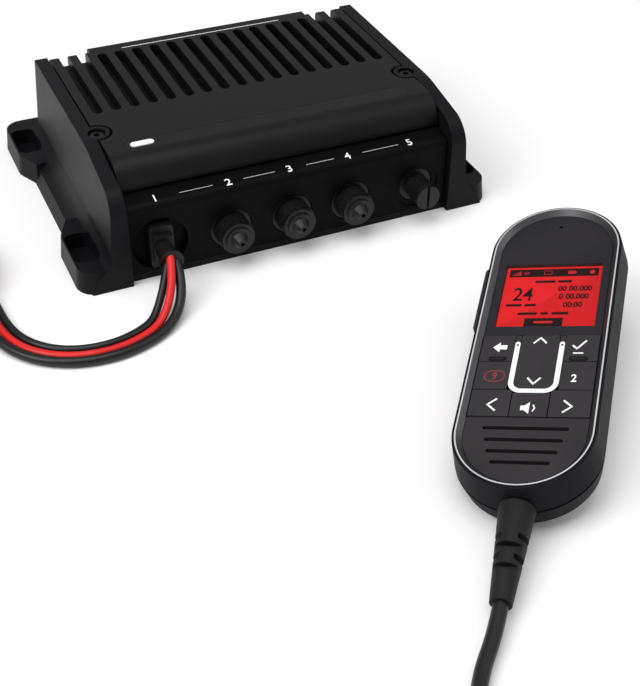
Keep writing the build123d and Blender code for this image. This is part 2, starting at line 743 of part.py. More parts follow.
# ------------------------------------------------------------------ the connector panel
def panel_profile():
    """Section of the connector panel in (y, z): upright face, round shoulder, label ledge."""
    rise = LEDGE_LEN * math.tan(math.radians(LEDGE_SLOPE))
    low = FLOOR_T + SEAT_GAP
    ledge = (PANEL_Y + LEDGE_FRONT, LEDGE_Z)
    upright = (PANEL_Y, LEDGE_Z - PANEL_ARC_DROP)
    middle = (PANEL_Y + LEDGE_FRONT * LEDGE_BOW, LEDGE_Z - PANEL_ARC_DROP * LEDGE_BOW)
    ledge_end = (ledge[0] + LEDGE_LEN, LEDGE_Z + rise)
    land_end = (ledge_end[0] + LEDGE_LAND, LEDGE_Z + rise)
    lines = [
        Line((PANEL_Y, low), upright),
        ThreePointArc(upright, middle, ledge),
        Line(ledge, ledge_end),
        Line(ledge_end, land_end),
        Line(land_end, (land_end[0], land_end[1] - PANEL_T)),
        Line((land_end[0], land_end[1] - PANEL_T), (ledge_end[0], ledge_end[1] - PANEL_T)),
        Line((ledge_end[0], ledge_end[1] - PANEL_T), (ledge[0] + 1, ledge[1] - PANEL_T)),
        Line((ledge[0] + 1, ledge[1] - PANEL_T), (PANEL_IN, upright[1])),
        Line((PANEL_IN, upright[1]), (PANEL_IN, low)),
        Line((PANEL_IN, low), (PANEL_Y, low)),
    ]
    return make_face(Curve() + lines)


def front_panel():
    """The connector panel, with its socket holes, power recess and data socket rim."""
    body = along_x(panel_profile(), INSERT_X)
    cup_back = PANEL_Y + POWER_RECESS_DEPTH + POWER_CUP_T
    cup = rod(POWER_RECESS_R + POWER_CUP_T, PANEL_IN - 1, cup_back, POWER_X, POWER_Z)
    body = body + (cup & block(-INSERT_X, INSERT_X, PANEL_Y, 0, FLOOR_T + SEAT_GAP, BOX_H))
    body = body - rod(POWER_RECESS_R, PANEL_Y - 1, PANEL_Y + POWER_RECESS_DEPTH, POWER_X, POWER_Z)
    body = body - plug_block(SEAT_GAP, PANEL_Y - 1, cup_back + 1)
    for x in ACCESSORY_X:
        body = body - rod(COLLAR_R + SEAT_GAP / 2, PANEL_Y - 1, PANEL_IN + 1, x, SOCKET_Z)
    body = body - rod(DATA_RIM_R, PANEL_Y - 1, PANEL_Y + DATA_RIM_SINK, DATA_X, SOCKET_Z)
    return body - rod(DATA_HOLE_R, PANEL_Y - 1, PANEL_IN + 1, DATA_X, SOCKET_Z)


def accessory_socket(x):
    """One accessory socket: collar in the panel's hole, shoulder behind it and a barrel."""
    body = rod(SHOULDER_R, PANEL_IN, PANEL_IN + SHOULDER_T, x, SOCKET_Z)
    body = body + rod(COLLAR_R, PANEL_Y + COLLAR_SINK, PANEL_IN + 1, x, SOCKET_Z)
    face = PANEL_Y - BARREL_OUT
    body = body + rod(BARREL_R, face, PANEL_Y + BARREL_IN, x, SOCKET_Z)
    return body - rod(BARREL_BORE_R, face - 1, face + BARREL_BORE_DEPTH, x, SOCKET_Z)


def cap_plug(x):
    """The middle of a sealing cap: spigot, neck, stepped disc and pierced nipple."""
    bore_end = PANEL_Y - BARREL_OUT + BARREL_BORE_DEPTH - 1
    disc_back = PANEL_Y - RING_END - SEAT_GAP
    disc_front = disc_back - CAP_DISC_T
    step_front = disc_front - CAP_STEP_T
    tip = step_front - NIPPLE_L
    body = rod(BARREL_SPIGOT_R, bore_end, disc_back, x, SOCKET_Z)
    body = body + rod(CAP_DISC_R, disc_back, disc_front, x, SOCKET_Z)
    body = body + rod(CAP_STEP_R, disc_front, step_front, x, SOCKET_Z)
    cone = Pos(x, (step_front + tip) / 2, SOCKET_Z) * Rot(X=90) * Cone(NIPPLE_R, NIPPLE_TIP_R, NIPPLE_L)
    body = body + cone
    return body - rod(NIPPLE_HOLE_R, tip - 1, tip + NIPPLE_HOLE_DEPTH, x, SOCKET_Z)


def lock_ring(x):
    """A cap's locking ring: a cup round the barrel, notched at its front edge for the fingers."""
    start = PANEL_Y - RING_START
    web = PANEL_Y - RING_WEB
    end = PANEL_Y - RING_END
    body = rod(RING_R, start, end, x, SOCKET_Z)
    body = body - rod(RING_BORE_R, start + 1, web, x, SOCKET_Z)
    body = body - rod(BARREL_SPIGOT_R + SEAT_GAP, web + 1, end - 1, x, SOCKET_Z)
    notch = Box(RING_NOTCH_W, RING_NOTCH_DEPTH + TINY, RING_WALL)
    notch = Pos(0, end + RING_NOTCH_DEPTH / 2, RING_R) * notch
    for turn in range(RING_NOTCHES):
        angle = 360 / RING_NOTCHES * turn
        body = body - Pos(x, 0, SOCKET_Z) * Rot(Y=angle) * notch
    return body


def data_socket():
    """The data socket: neck in the panel's hole, shoulder behind it and a threaded barrel."""
    body = rod(SHOULDER_R, PANEL_IN, PANEL_IN + SHOULDER_T, DATA_X, SOCKET_Z)
    body = body + rod(DATA_HOLE_R - SEAT_GAP / 2, PANEL_Y + DATA_NECK_SINK, PANEL_IN + 1, DATA_X, SOCKET_Z)
    body = body + rod(DATA_THREAD_R, PANEL_Y - DATA_THREAD_OUT, PANEL_Y + DATA_IN, DATA_X, SOCKET_Z)
    mouth = PANEL_Y - DATA_THREAD_OUT - 1
    return body - rod(DATA_THREAD_R - DATA_WALL, mouth, PANEL_Y + DATA_BORE_IN, DATA_X, SOCKET_Z)


def data_cap():
    """The data socket's screw cap, with grip grooves and a coin slot."""
    start = PANEL_Y - DATA_CAP_START
    end = PANEL_Y - DATA_CAP_END
    inner_end = PANEL_Y - DATA_THREAD_OUT - SEAT_GAP * 2 - DATA_SEAL_T
    body = rod(DATA_CAP_R, start, end, DATA_X, SOCKET_Z)
    body = body - rod(DATA_THREAD_R + SEAT_GAP, start + 1, inner_end, DATA_X, SOCKET_Z)
    slot = block(
        DATA_X - DATA_SLOT_W / 2,
        DATA_X + DATA_SLOT_W / 2,
        end - 1,
        end + DATA_SLOT_DEPTH,
        SOCKET_Z - DATA_CAP_R,
        SOCKET_Z + DATA_CAP_R,
    )
    body = body - slot
    groove = rod(DATA_GRIP_R, end + DATA_SLOT_DEPTH + 1, start - DATA_RIM_L, 0, DATA_CAP_R)
    for turn in range(DATA_GRIPS):
        body = body - Pos(DATA_X, 0, SOCKET_Z) * Rot(Y=360 / DATA_GRIPS * (turn + 0.5)) * groove
    return body


def data_seal():
    """The sealing disc that the screw cap presses on the data socket's end."""
    near = PANEL_Y - DATA_THREAD_OUT - SEAT_GAP
    return rod(DATA_THREAD_R - TINY, near, near - DATA_SEAL_T, DATA_X, SOCKET_Z)


# ------------------------------------------------------------------ power inlet and plug
def plug_block(clearance, y0, y1):
    """The plug's oblong section between two Y values, widened by clearance."""
    plan = RectangleRounded(PLUG_W + 2 * clearance, PLUG_H + 2 * clearance, PLUG_R + clearance)
    plane = Plane(origin=(POWER_X, y0, POWER_Z), x_dir=(1, 0, 0), z_dir=(0, 1, 0))
    return extrude(plane * plan, amount=y1 - y0)


def power_socket():
    """The inlet behind the recess, with a cavity for the plug and two blades in it."""
    front = PANEL_Y + POWER_RECESS_DEPTH + POWER_CUP_T
    cavity_end = PANEL_Y + POWER_RECESS_DEPTH + PLUG_IN + SEAT_GAP
    back = cavity_end + PLUG_WALL
    body = block(
        POWER_X - PLUG_W / 2 - PLUG_WALL,
        POWER_X + PLUG_W / 2 + PLUG_WALL,
        front,
        back,
        POWER_Z - PLUG_H / 2 - PLUG_WALL,
        POWER_Z + PLUG_H / 2 + PLUG_WALL,
    )
    return body - plug_block(SEAT_GAP, front - 1, cavity_end)


def relief_radius(index):
    """Radius of a strain relief rib, counted from the plug."""
    return RELIEF_R - index * RELIEF_TAPER * 2


def relief_length():
    """The strain relief's length, with its last collar."""
    return RELIEF_RIBS * (RELIEF_RIB_T + RELIEF_RIB_GAP) + RELIEF_RIB_T


def power_plug():
    """The plug: oblong body, a narrower hood and a ribbed strain relief for three leads."""
    inner = PANEL_Y + POWER_RECESS_DEPTH + PLUG_IN
    face = PANEL_Y - PLUG_OUT
    body = plug_block(0.0, face, inner)
    hood_front = face - HOOD_T
    body = body + block(
        POWER_X - HOOD_W / 2,
        POWER_X + HOOD_W / 2,
        hood_front,
        face + 1,
        POWER_Z - HOOD_H / 2,
        POWER_Z + HOOD_H / 2,
    )
    end = hood_front - relief_length()
    last_core = relief_radius(RELIEF_RIBS) - RELIEF_CORE
    body = body + rod(last_core, hood_front + 1, end, POWER_X, POWER_Z)
    for index in range(RELIEF_RIBS + 1):
        start = hood_front - index * (RELIEF_RIB_T + RELIEF_RIB_GAP)
        start = start - RELIEF_RIB_GAP * (index < RELIEF_RIBS)
        start = min(start, end + RELIEF_RIB_T)
        body = body + rod(relief_radius(index), start, start - RELIEF_RIB_T, POWER_X, POWER_Z)
    return body


# ------------------------------------------------------------------ back of the box
def rear_panel():
    """The back plate between the cheeks, under the cover, with holes for the two aerial sockets."""
    plate = block(-INSERT_X, INSERT_X, BACK_PANEL_IN, BODY_BACK, FLOOR_T, COVER_UNDER - TINY)
    inside, outside = BACK_PANEL_IN - 1, BODY_BACK + 1
    plate = plate - rod(ANTENNA_R + SEAT_GAP, inside, outside, BACK_SOCKET_X, BACK_SOCKET_Z)
    return plate - rod(GPS_R + SEAT_GAP, BACK_PANEL_IN - 1, BODY_BACK + 1, -BACK_SOCKET_X, BACK_SOCKET_Z)


def antenna_socket():
    """The VHF aerial socket: square flange, threaded barrel, insulator face and centre contact."""
    half = ANTENNA_FLANGE / 2
    flange = block(
        BACK_SOCKET_X - half,
        BACK_SOCKET_X + half,
        BODY_BACK,
        BODY_BACK + ANTENNA_FLANGE_T,
        BACK_SOCKET_Z - half,
        BACK_SOCKET_Z + half,
    )
    corners = flange.edges().filter_by(Axis.Y)
    flange = fillet(corners, ANTENNA_CORNER_R)
    end = BODY_BACK + ANTENNA_OUT
    body = flange + rod(ANTENNA_R, BODY_BACK - BACK_SOCKET_IN, end, BACK_SOCKET_X, BACK_SOCKET_Z)
    body = body - rod(ANTENNA_BORE_R, end - ANTENNA_BORE_DEPTH, end + 1, BACK_SOCKET_X, BACK_SOCKET_Z)
    return body - rod(ANTENNA_PIN_R, end - ANTENNA_PIN_DEPTH, end, BACK_SOCKET_X, BACK_SOCKET_Z)


def gps_socket():
    """The smaller aerial socket, with a hexagonal flange."""
    plane = Plane(origin=(-BACK_SOCKET_X, BODY_BACK, BACK_SOCKET_Z), x_dir=(1, 0, 0), z_dir=(0, 1, 0))
    flange = extrude(plane * RegularPolygon(GPS_FLANGE_R, 6), amount=GPS_FLANGE_T)
    end = BODY_BACK + GPS_OUT
    body = flange + rod(GPS_R, BODY_BACK - BACK_SOCKET_IN, end, -BACK_SOCKET_X, BACK_SOCKET_Z)
    return body - rod(GPS_R - GPS_WALL, end - GPS_BORE_DEPTH, end + 1, -BACK_SOCKET_X, BACK_SOCKET_Z)


def cover_screws():
    """The two cap screws that hold the cover's front corners to the cheeks' bosses."""
    group = []
    top = BOX_H - SCREW_SINK
    for side in (-1, 1):
        head = Cylinder(SCREW_HEAD_D / 2, SCREW_HEAD_H)
        head = Pos(side * BOSS_X, BOSS_Y, top - SCREW_HEAD_H / 2) * head
        shank_l = SCREW_L - SEAT_GAP
        shank_z = top - SCREW_HEAD_H - shank_l / 2
        shank = Pos(side * BOSS_X, BOSS_Y, shank_z) * Cylinder(SCREW_D / 2 - TINY, shank_l)
        floor = Plane.XY.offset(top - SCREW_HEX_DEPTH)
        socket = floor * Pos(side * BOSS_X, BOSS_Y) * RegularPolygon(SCREW_HEX_R, 6)
        group.append(head + shank - extrude(socket, amount=SCREW_HEX_DEPTH + 1))
    return Compound(children=group)


# ------------------------------------------------------------------ the box's electronics
def main_board():
    """The printed board on the casting's posts."""
    low = FLOOR_T + BOARD_Z
    board = block(-BOARD_W / 2, BOARD_W / 2, BOARD_FRONT_Y, BOARD_BACK_Y, low, low + BOARD_T)
    for x, y in board_points():
        board = board - Pos(x, y, low) * Cylinder(BOARD_SCREW_D / 2 + TINY * 2, 2 * BOARD_T + TINY)
    return board


def board_screws():
    """The four pan-head screws of the board."""
    group = []
    for x, y in board_points():
        head = Pos(x, y, BOARD_TOP + 1) * Cylinder(BOARD_SCREW_D, 2)
        length = BOARD_T + BOARD_Z / 2 - SEAT_GAP
        shank = Pos(x, y, BOARD_TOP - length / 2) * Cylinder(BOARD_SCREW_D / 2 - TINY, length)
        group.append(head + shank)
    return Compound(children=group)


def power_module():
    """The transmitter's power module, between the board and the cover's pedestal."""
    width, depth, height = MODULE_SIZE
    half_w, half_d = width / 2, depth / 2
    front, back = PEDESTAL_Y - half_d, PEDESTAL_Y + half_d
    return block(-half_w, half_w, front, back, BOARD_TOP, BOARD_TOP + height)


def shield_cans():
    """The folded screening cans on the board."""
    inner = MODULE_SIZE[0] / 2 + SHIELD_ASIDE
    outer = inner + SHIELD_W
    top = BOARD_TOP + SHIELD_H
    back = PEDESTAL_Y + RECEIVER_BACK
    receiver = block(-outer, -inner, back - SHIELD_L, back, BOARD_TOP, top)
    transmitter = block(inner, outer, PEDESTAL_Y - SHIELD_L, PEDESTAL_Y, BOARD_TOP, top)
    width, depth, height = CONTROL_CAN
    front = BOARD_FRONT_Y + CONTROL_BEHIND
    left = CONTROL_X - width / 2
    control = block(left, left + width, front, front + depth, BOARD_TOP, BOARD_TOP + height)
    return Compound(children=[receiver, transmitter, control])


# ------------------------------------------------------------------ handset shells
def hs_front_shell():
    """The handset's front shell: wall, deck under the face, and a seat for the trim ring."""
    body = stadium_block(0.0, SEAL_T / 2, HS_FRONT_H, HS_DRAFT)
    body = body - stadium_block(HS_WALL + FACE_INSET * CAVITY_TAPER, 0, DECK_UNDER)
    body = body - stadium_block(SEAT_INSET, HS_FRONT_H + TRIM_RISE - TRIM_H, HS_FRONT_H + 1)
    body = body - stadium_block(TRIM_INSET, DECK_TOP, HS_FRONT_H)
    body = body - window_block(LCD_MARGIN + SEAT_GAP, DECK_UNDER - 1, DECK_TOP + 1)
    for x, y in key_stems().values():
        body = body - Pos(x, y, DECK_TOP) * Cylinder(KEY_STEM_R + SEAT_GAP, 4 * DECK_T)
    body = body - grille_slots(DECK_UNDER - 1, DECK_TOP + 1)
    body = body - Pos(0, MIC_Y, DECK_TOP) * Cylinder(MIC_HOLE_R, 4 * DECK_T)
    body = body + fulcrum()
    body = body - talk_opening() - boot_channel(SEAT_GAP)
    tub = flap_place() * flap_block(FLAP_TUB_T, FLAP_WELL + FLAP_TUB_T)
    tub = tub & stadium_block(SEAT_INSET, SEAL_T, DECK_TOP)
    well = flap_place() * flap_block(SEAT_GAP, FLAP_WELL)
    return body + tub - well - flap_pin(TINY, FLAP_BARREL_OUT + 0.5)


def flap_place():
    """From the flap's frame (X into the wall, Z up along it) to the handset's."""
    wall_x = -HS_W / 2 + math.tan(math.radians(HS_DRAFT)) * (FLAP_Z - SEAL_T / 2)
    return Pos(wall_x, FLAP_Y, FLAP_Z) * Rot(Y=HS_DRAFT)


def flap_block(grow, depth):
    """The flap's oblong, widened by grow, from outside the wall to a depth in it."""
    return block(-2, depth, -FLAP_L / 2 - grow, FLAP_L / 2 + grow, -FLAP_H / 2 - grow, FLAP_H / 2 + grow)


def flap_pin(grow, overhang):
    """The flap's hinge pin, near its upper edge, reaching past both ends."""
    pin = Pos(FLAP_PIN_X, 0, FLAP_H / 2 - FLAP_PIN_X) * Rot(X=90)
    return flap_place() * pin * Cylinder(FLAP_PIN_R + grow, FLAP_L + 2 * overhang)


def window_block(grow, z0, z1):
    """The display window's outline, widened by grow, between two heights."""
    half_w, half_h = WINDOW_W / 2 + grow, WINDOW_H / 2 + grow
    return block(-half_w, half_w, WINDOW_Y - half_h, WINDOW_Y + half_h, z0, z1)


def fulcrum():
    """The rib on the deck, with a round top, that the rocker tips over."""
    half_l = U_HALF / 2
    front = FULCRUM_Y - FULCRUM_R
    web = block(-half_l, half_l, front, front + 2 * FULCRUM_R, DECK_TOP - 0.5, FULCRUM_Z)
    return web + fulcrum_bar(FULCRUM_R, half_l)


def fulcrum_bar(radius, half_length):
    """A round bar along the rocker's axis."""
    return Pos(0, FULCRUM_Y, FULCRUM_Z) * Rot(Y=90) * Cylinder(radius, 2 * half_length)


def talk_opening():
    """The side opening for the talk key, through the front shell's left wall."""
    half_l, half_h = PTT_L / 2 + SEAT_GAP, PTT_H / 2 + SEAT_GAP
    inner = -HS_W / 2 + TALK_DEEP
    return block(-HS_W, inner, PTT_Y - half_l, PTT_Y + half_l, PTT_Z - half_h, PTT_Z + half_h)


def hump_plan(inset=0.0):
    """Outline of the raised back of the rear shell."""
    return Pos(0, HUMP_Y) * RectangleRounded(HUMP_W - 2 * inset, HUMP_L - 2 * inset, HUMP_R - inset)


def hump_block(inset, z0, z1, taper):
    """The raised back between two depths, tapering away from the face."""
    plane = Plane(origin=(0, 0, z0), x_dir=(1, 0, 0), z_dir=(0, 0, -1))
    return extrude(plane * mirror(hump_plan(inset), Plane.XZ), amount=z0 - z1, taper=taper)


def hs_rear_shell():
    """The handset's rear shell: a tapered tray with a raised back and a boss for the stud."""
    body = stadium_block(0.0, -SEAL_T / 2, -HS_REAR_H, HS_REAR_DRAFT)
    body = body + hump_block(0.0, -HS_REAR_H + 0.5, -HS_REAR_H - HUMP_H, HUMP_DRAFT)
    body = body - stadium_block(HS_WALL, 0, -HS_REAR_H + HS_WALL, HS_REAR_DRAFT)
    body = body - hump_block(HS_WALL + HUMP_TAPER, 0, -HS_REAR_H - HUMP_H + HS_WALL, HUMP_DRAFT / 2)
    back = HS_BACK_Z
    boss = Pos(0, STUD_Y, back + HS_WALL) * Cylinder(STUD_NECK_R + STUD_BOSS_T, STUD_BOSS_H)
    body = body + boss - Pos(0, STUD_Y, back) * Cylinder(STUD_SHANK_R, 2 * STUD_BOSS_H)
    for x, y in HS_SCREW_POINTS:
        well_z = screw_back(y)
        body = body - Pos(x, y, well_z) * Cylinder(HS_SCREW_R + TINY, 2 * (HS_SCREW_H + HS_SCREW_LIFT))
    return body - boot_channel(SEAT_GAP)


def screw_back(y):
    """Depth of the rear shell's surface where a screw sits."""
    inside_hump = abs(y - HUMP_Y) < HUMP_L / 2
    return HS_BACK_Z if inside_hump else -HS_REAR_H


def resting_height():
    """Height of the handset's origin when its heel touches the surface that it lies on."""
    pitch, lean = math.radians(HS_PITCH), math.radians(HS_LEAN)
    up_x = math.cos(pitch) * math.sin(lean)
    up_y = math.sin(pitch)
    up_z = math.cos(pitch) * math.cos(lean)
    return HEEL_R * math.hypot(up_x, up_y) - up_y * HEEL_Y + up_z * HS_REAR_H


def lay_down(shape):
    """Place a handset piece: laid on its back, turned and moved beside the box."""
    turn = Rot(Z=-HS_HEADING) * Rot(X=HS_PITCH) * Rot(Y=-HS_LEAN)
    return Pos(HS_X, HS_Y, resting_height()) * turn * shape


# ------------------------------------------------------------------ handset face
def hs_seal():
    """The seal between the shells, a little inside their sides."""
    outer = stadium_block(SEAL_SINK, -SEAL_T / 2, SEAL_T / 2)
    return outer - stadium_block(HS_WALL, -SEAL_T, SEAL_T) - boot_channel(SEAT_GAP)


def trim_ring():
    """The bevelled metal ring round the face."""
    low = HS_FRONT_H + TRIM_RISE - TRIM_H
    top = HS_FRONT_H + TRIM_RISE
    outer = stadium_block(SEAT_INSET + TINY, low, top)
    bevel_h = TRIM_H - TRIM_SEAT_T
    angle = math.degrees(math.atan2(TRIM_BEVEL, bevel_h))
    bevel = stadium_block(TRIM_INSET, top - bevel_h, top + 0.01, -angle)
    return outer - bevel - stadium_block(TRIM_INSET, low - 1, top - bevel_h + 0.01)


def face_slice(y0, y1, z0, z1):
    """The face's outline between two Y values and two heights."""
    return stadium_block(TRIM_INSET + FACE_GAP, z0, z1) & block(-HS_W, HS_W, y0, y1, z0 - 1, z1 + 1)


def display_panel():
    """The panel above the keys, open at the window, with the microphone's hole."""
    body = face_slice(SEAM_Y + KEY_GAP / 2, HS_L, DECK_TOP, HS_FACE_Z)
    body = body - window_block(0.0, DECK_TOP - 1, HS_FACE_Z + 1)
    return body - Pos(0, MIC_Y, DECK_TOP) * Cylinder(MIC_HOLE_R, 4 * FACE_T)


def display_window():
    """The clear pane in the panel's window."""
    top = HS_FACE_Z - WINDOW_SINK
    return window_block(-TINY, top - WINDOW_T, top)


def lcd_module():
    """The display module under the pane, in the deck's opening."""
    top = DECK_TOP - TINY
    under_pane = HS_FACE_Z - WINDOW_SINK - WINDOW_T
    return window_block(LCD_MARGIN, top - LCD_T, top) + window_block(-SEAT_GAP, top - 1, under_pane)


def grille_slots(z0, z1):
    """The four sound slots, each shorter than the one above."""
    cut = None
    for y, length in zip(GRILLE_Y, GRILLE_L):
        slot = extrude(Plane.XY.offset(z0) * Pos(0, y) * SlotOverall(length, GRILLE_W), amount=z1 - z0)
        cut = slot if cut is None else cut + slot
    return cut


def grille_panel():
    """The panel below the keys, with the sound slots."""
    body = face_slice(-HS_L, KEYS_END_Y - KEY_GAP / 2, DECK_TOP, HS_FACE_Z)
    return body - grille_slots(DECK_TOP - 1, HS_FACE_Z + 1)


def u_outline(grow):
    """Plan of the U, widened by grow on each side."""
    half = U_W / 2 + grow
    width, height = 2 * (U_HALF + half), U_TOP_Y - U_BOTTOM_Y + half
    top = U_TOP_Y
    middle = (U_TOP_Y + U_BOTTOM_Y - half) / 2
    outer = Pos(0, middle) * RectangleRounded(width, height, U_R + half)
    outer = outer + Pos(0, top - height / 4) * Rectangle(width, height / 2)
    inner_w = 2 * (U_HALF - half)
    inner_h = height - 2 * half
    inner = Pos(0, top - inner_h / 2) * RectangleRounded(inner_w, inner_h, U_R - half)
    inner = inner + Pos(0, top - inner_h / 4 + 1) * Rectangle(inner_w, inner_h / 2 + 2)
    shape = outer - inner
    for side in (-1, 1):
        shape = shape + Pos(side * U_HALF, top) * Circle(half)
    return shape


def key_light():
    """The light guide that frames the rocker, standing on the deck."""
    return extrude(Plane.XY.offset(DECK_TOP) * u_outline(0.0), amount=HS_FACE_Z + KEY_PROUD - DECK_TOP)


def key_cells():
    """Each key's cell as (x0, x1, y0, y1), before the U and the outline trim it."""
    far = HS_W
    side = U_HALF + U_W / 2
    return {
        "key_back": (-far, -side, KEY_ROW_1_Y, SEAM_Y),
        "key_enter": (side, far, KEY_ROW_1_Y, SEAM_Y),
        "key_watch": (-far, -side, KEY_ROW_2_Y, KEY_ROW_1_Y),
        "key_power_level": (side, far, KEY_ROW_2_Y, KEY_ROW_1_Y),
        "key_left": (-far, -KEY_SPLIT_X, KEYS_END_Y, KEY_ROW_2_Y),
        "key_volume": (-KEY_SPLIT_X, KEY_SPLIT_X, KEYS_END_Y, U_BOTTOM_Y - U_W / 2),
        "key_right": (KEY_SPLIT_X, far, KEYS_END_Y, KEY_ROW_2_Y),
    }


def key_stems():
    """Where each key's stem passes the deck."""
    return {
        "key_back": (-KEY_STEM_X, (KEY_ROW_1_Y + SEAM_Y) / 2),
        "key_enter": (KEY_STEM_X, (KEY_ROW_1_Y + SEAM_Y) / 2),
        "key_watch": (-KEY_STEM_X, (KEY_ROW_1_Y + KEY_ROW_2_Y) / 2),
        "key_power_level": (KEY_STEM_X, (KEY_ROW_1_Y + KEY_ROW_2_Y) / 2),
        "key_left": (-ARROW_STEM_X, (KEYS_END_Y + KEY_ROW_2_Y) / 2),
        "key_volume": (0.0, (KEYS_END_Y + U_BOTTOM_Y - U_W / 2) / 2),
        "key_right": (ARROW_STEM_X, (KEYS_END_Y + KEY_ROW_2_Y) / 2),
    }


def key(name):
    """One key: its cell less the gaps, trimmed by the face's outline and the U, with a stem."""
    x0, x1, y0, y1 = key_cells()[name]
    gap = KEY_GAP / 2
    top = HS_FACE_Z + KEY_PROUD
    under = top - KEY_T
    cell = block(x0 + gap, x1 - gap, y0 + gap, y1 - gap, under, top)
    cell = cell & stadium_block(TRIM_INSET + KEY_RIM_GAP, under - 1, top + 1)
    cell = cell - extrude(Plane.XY.offset(under - 1) * u_outline(SEAT_GAP), amount=KEY_T + 2)
    x, y = key_stems()[name]
    board_top = HS_BOARD_Z + HS_BOARD_T
    foot = board_top + KEY_TRAVEL + STEM_GAP
    stem = Pos(x, y, (foot + under + 0.5) / 2) * Cylinder(KEY_STEM_R, under + 0.5 - foot)
    return cell + stem


def rocker_key():
    """The up and down rocker inside the U."""
    half = U_HALF - U_W / 2 - SEAT_GAP
    top = HS_FACE_Z + KEY_PROUD
    bottom_y = U_BOTTOM_Y + U_W / 2 + SEAT_GAP
    height = SEAM_Y - KEY_GAP / 2 - bottom_y
    plan = Pos(0, bottom_y + height / 2) * RectangleRounded(2 * half, height, 1.0)
    corner = U_R - U_W / 2 - SEAT_GAP
    low = Pos(0, bottom_y + height / 4) * RectangleRounded(2 * half, height / 2, corner)
    upper = Pos(0, bottom_y + height * 0.62) * Rectangle(2 * half, height * 0.76)
    plan = plan & (low + upper)
    body = extrude(Plane.XY.offset(top - KEY_T) * plan, amount=KEY_T)
    return body - fulcrum_bar(FULCRUM_R + FULCRUM_GAP, U_HALF / 2 + SEAT_GAP)


# ------------------------------------------------------------------ handset: inside, side and back
def hs_board():
    """The handset's printed board, above the speaker's end of the case."""
    outline = stadium_block(HS_WALL + FACE_INSET, HS_BOARD_Z, HS_BOARD_Z + HS_BOARD_T)
    keep = block(-HS_W, HS_W, HS_BOARD_END_Y, HS_L, HS_BOARD_Z - 1, HS_BOARD_Z + HS_BOARD_T + 1)
    reach = TALK_X + HS_WALL + FACE_INSET + PTT_T + TALK_TRAVEL + TINY
    half_l = PTT_L / 2 + 2 * PTT_RIM
    talk_side = block(-HS_W, reach, PTT_Y - half_l, PTT_Y + half_l, 0, HS_FRONT_H)
    flap_side = block(-HS_W, reach, FLAP_Y - FLAP_L, FLAP_Y + FLAP_L, 0, HS_FRONT_H)
    return (outline & keep) - talk_side - flap_side


def speaker():
    """The loudspeaker behind the sound slots: frame, and a narrower magnet behind it."""
    top = DECK_UNDER - TINY
    frame = Pos(0, SPEAKER_Y, top - SPEAKER_T / 4) * Cylinder(SPEAKER_R, SPEAKER_T / 2)
    magnet = Pos(0, SPEAKER_Y, top - SPEAKER_T * 3 / 4) * Cylinder(MAGNET_R, SPEAKER_T / 2)
    return frame + magnet


def microphone():
    """The microphone capsule under its hole."""
    return Pos(0, MIC_Y, DECK_UNDER - TINY - MIC_T / 2) * Cylinder(MIC_R, MIC_T)


def talk_key():
    """The talk key: a long pad standing out of the left side, with a rim inside the wall."""
    inside = TALK_X + HS_WALL + FACE_INSET
    half_l, half_h = PTT_L / 2, PTT_H / 2
    foot, head = PTT_Y - half_l, PTT_Y + half_l
    pad = block(TALK_X - PTT_PROUD, inside + 1, foot, head, PTT_Z - half_h, PTT_Z + half_h)
    ends = pad.edges().filter_by(Axis.Z).group_by(Axis.X)[0]
    pad = fillet(ends, PTT_END_R)
    low, high = SEAL_T, DECK_UNDER - SEAT_GAP
    rim = block(inside, inside + PTT_T, PTT_Y - half_l - PTT_RIM, PTT_Y + half_l + PTT_RIM, low, high)
    return pad + rim


def talk_switch():
    """The switch that the talk key presses, at the edge of the board."""
    reach = TALK_X + HS_WALL + FACE_INSET + PTT_T + TALK_TRAVEL + TINY
    top = HS_BOARD_Z + HS_BOARD_T
    foot = PTT_Y - SWITCH_L / 2
    return block(reach, reach + SWITCH_W, foot, foot + SWITCH_L, top, top + SWITCH_H)


def distress_flap():
    """The sprung flap over the distress button, with its hinge pin and a finger lip."""
    under_pin = block(0, FLAP_T, -HS_L, HS_L, -HS_W, FLAP_H / 2 - FLAP_PIN_X)
    plate = flap_place() * (flap_block(0.0, FLAP_T) & under_pin)
    knuckle = flap_place() * Pos(FLAP_PIN_X, 0, FLAP_H / 2 - FLAP_PIN_X) * Rot(X=90)
    knuckle = knuckle * Cylinder(FLAP_PIN_X, FLAP_L)
    half_lip, edge = FLAP_LIP_L / 2, -FLAP_H / 2
    lip = block(-FLAP_LIP_OUT, FLAP_LIP_IN, -half_lip, half_lip, edge, edge + LIP_END)
    lip = flap_place() * lip
    return plate + knuckle + lip + flap_pin(0.0, FLAP_BARREL_OUT)


def distress_button():
    """The oblong distress button in the flap's well."""
    floor = FLAP_WELL - DISTRESS_TRAVEL - TINY
    half_l, half_h = DISTRESS_L / 2, DISTRESS_H / 2
    return flap_place() * block(floor - DISTRESS_T, floor, -half_l, half_l, -half_h, half_h)


def hanger_stud():
    """The stud that hangs the handset in a bulkhead clip, with its screw in the shell's boss."""
    back = -HS_REAR_H - HUMP_H
    neck = Pos(0, STUD_Y, back - STUD_NECK_H / 2) * Cylinder(STUD_NECK_R, STUD_NECK_H)
    head_z = back - STUD_NECK_H - STUD_HEAD_H / 2
    head = Pos(0, STUD_Y, head_z) * Cylinder(STUD_HEAD_R, STUD_HEAD_H)
    rim = head.edges().filter_by(GeomType.CIRCLE)
    head = fillet(rim, STUD_EDGE_R)
    shank = Pos(0, STUD_Y, back + STUD_SHANK_L / 2 - 1) * Cylinder(STUD_SHANK_R - TINY, STUD_SHANK_L)
    return neck + head + shank


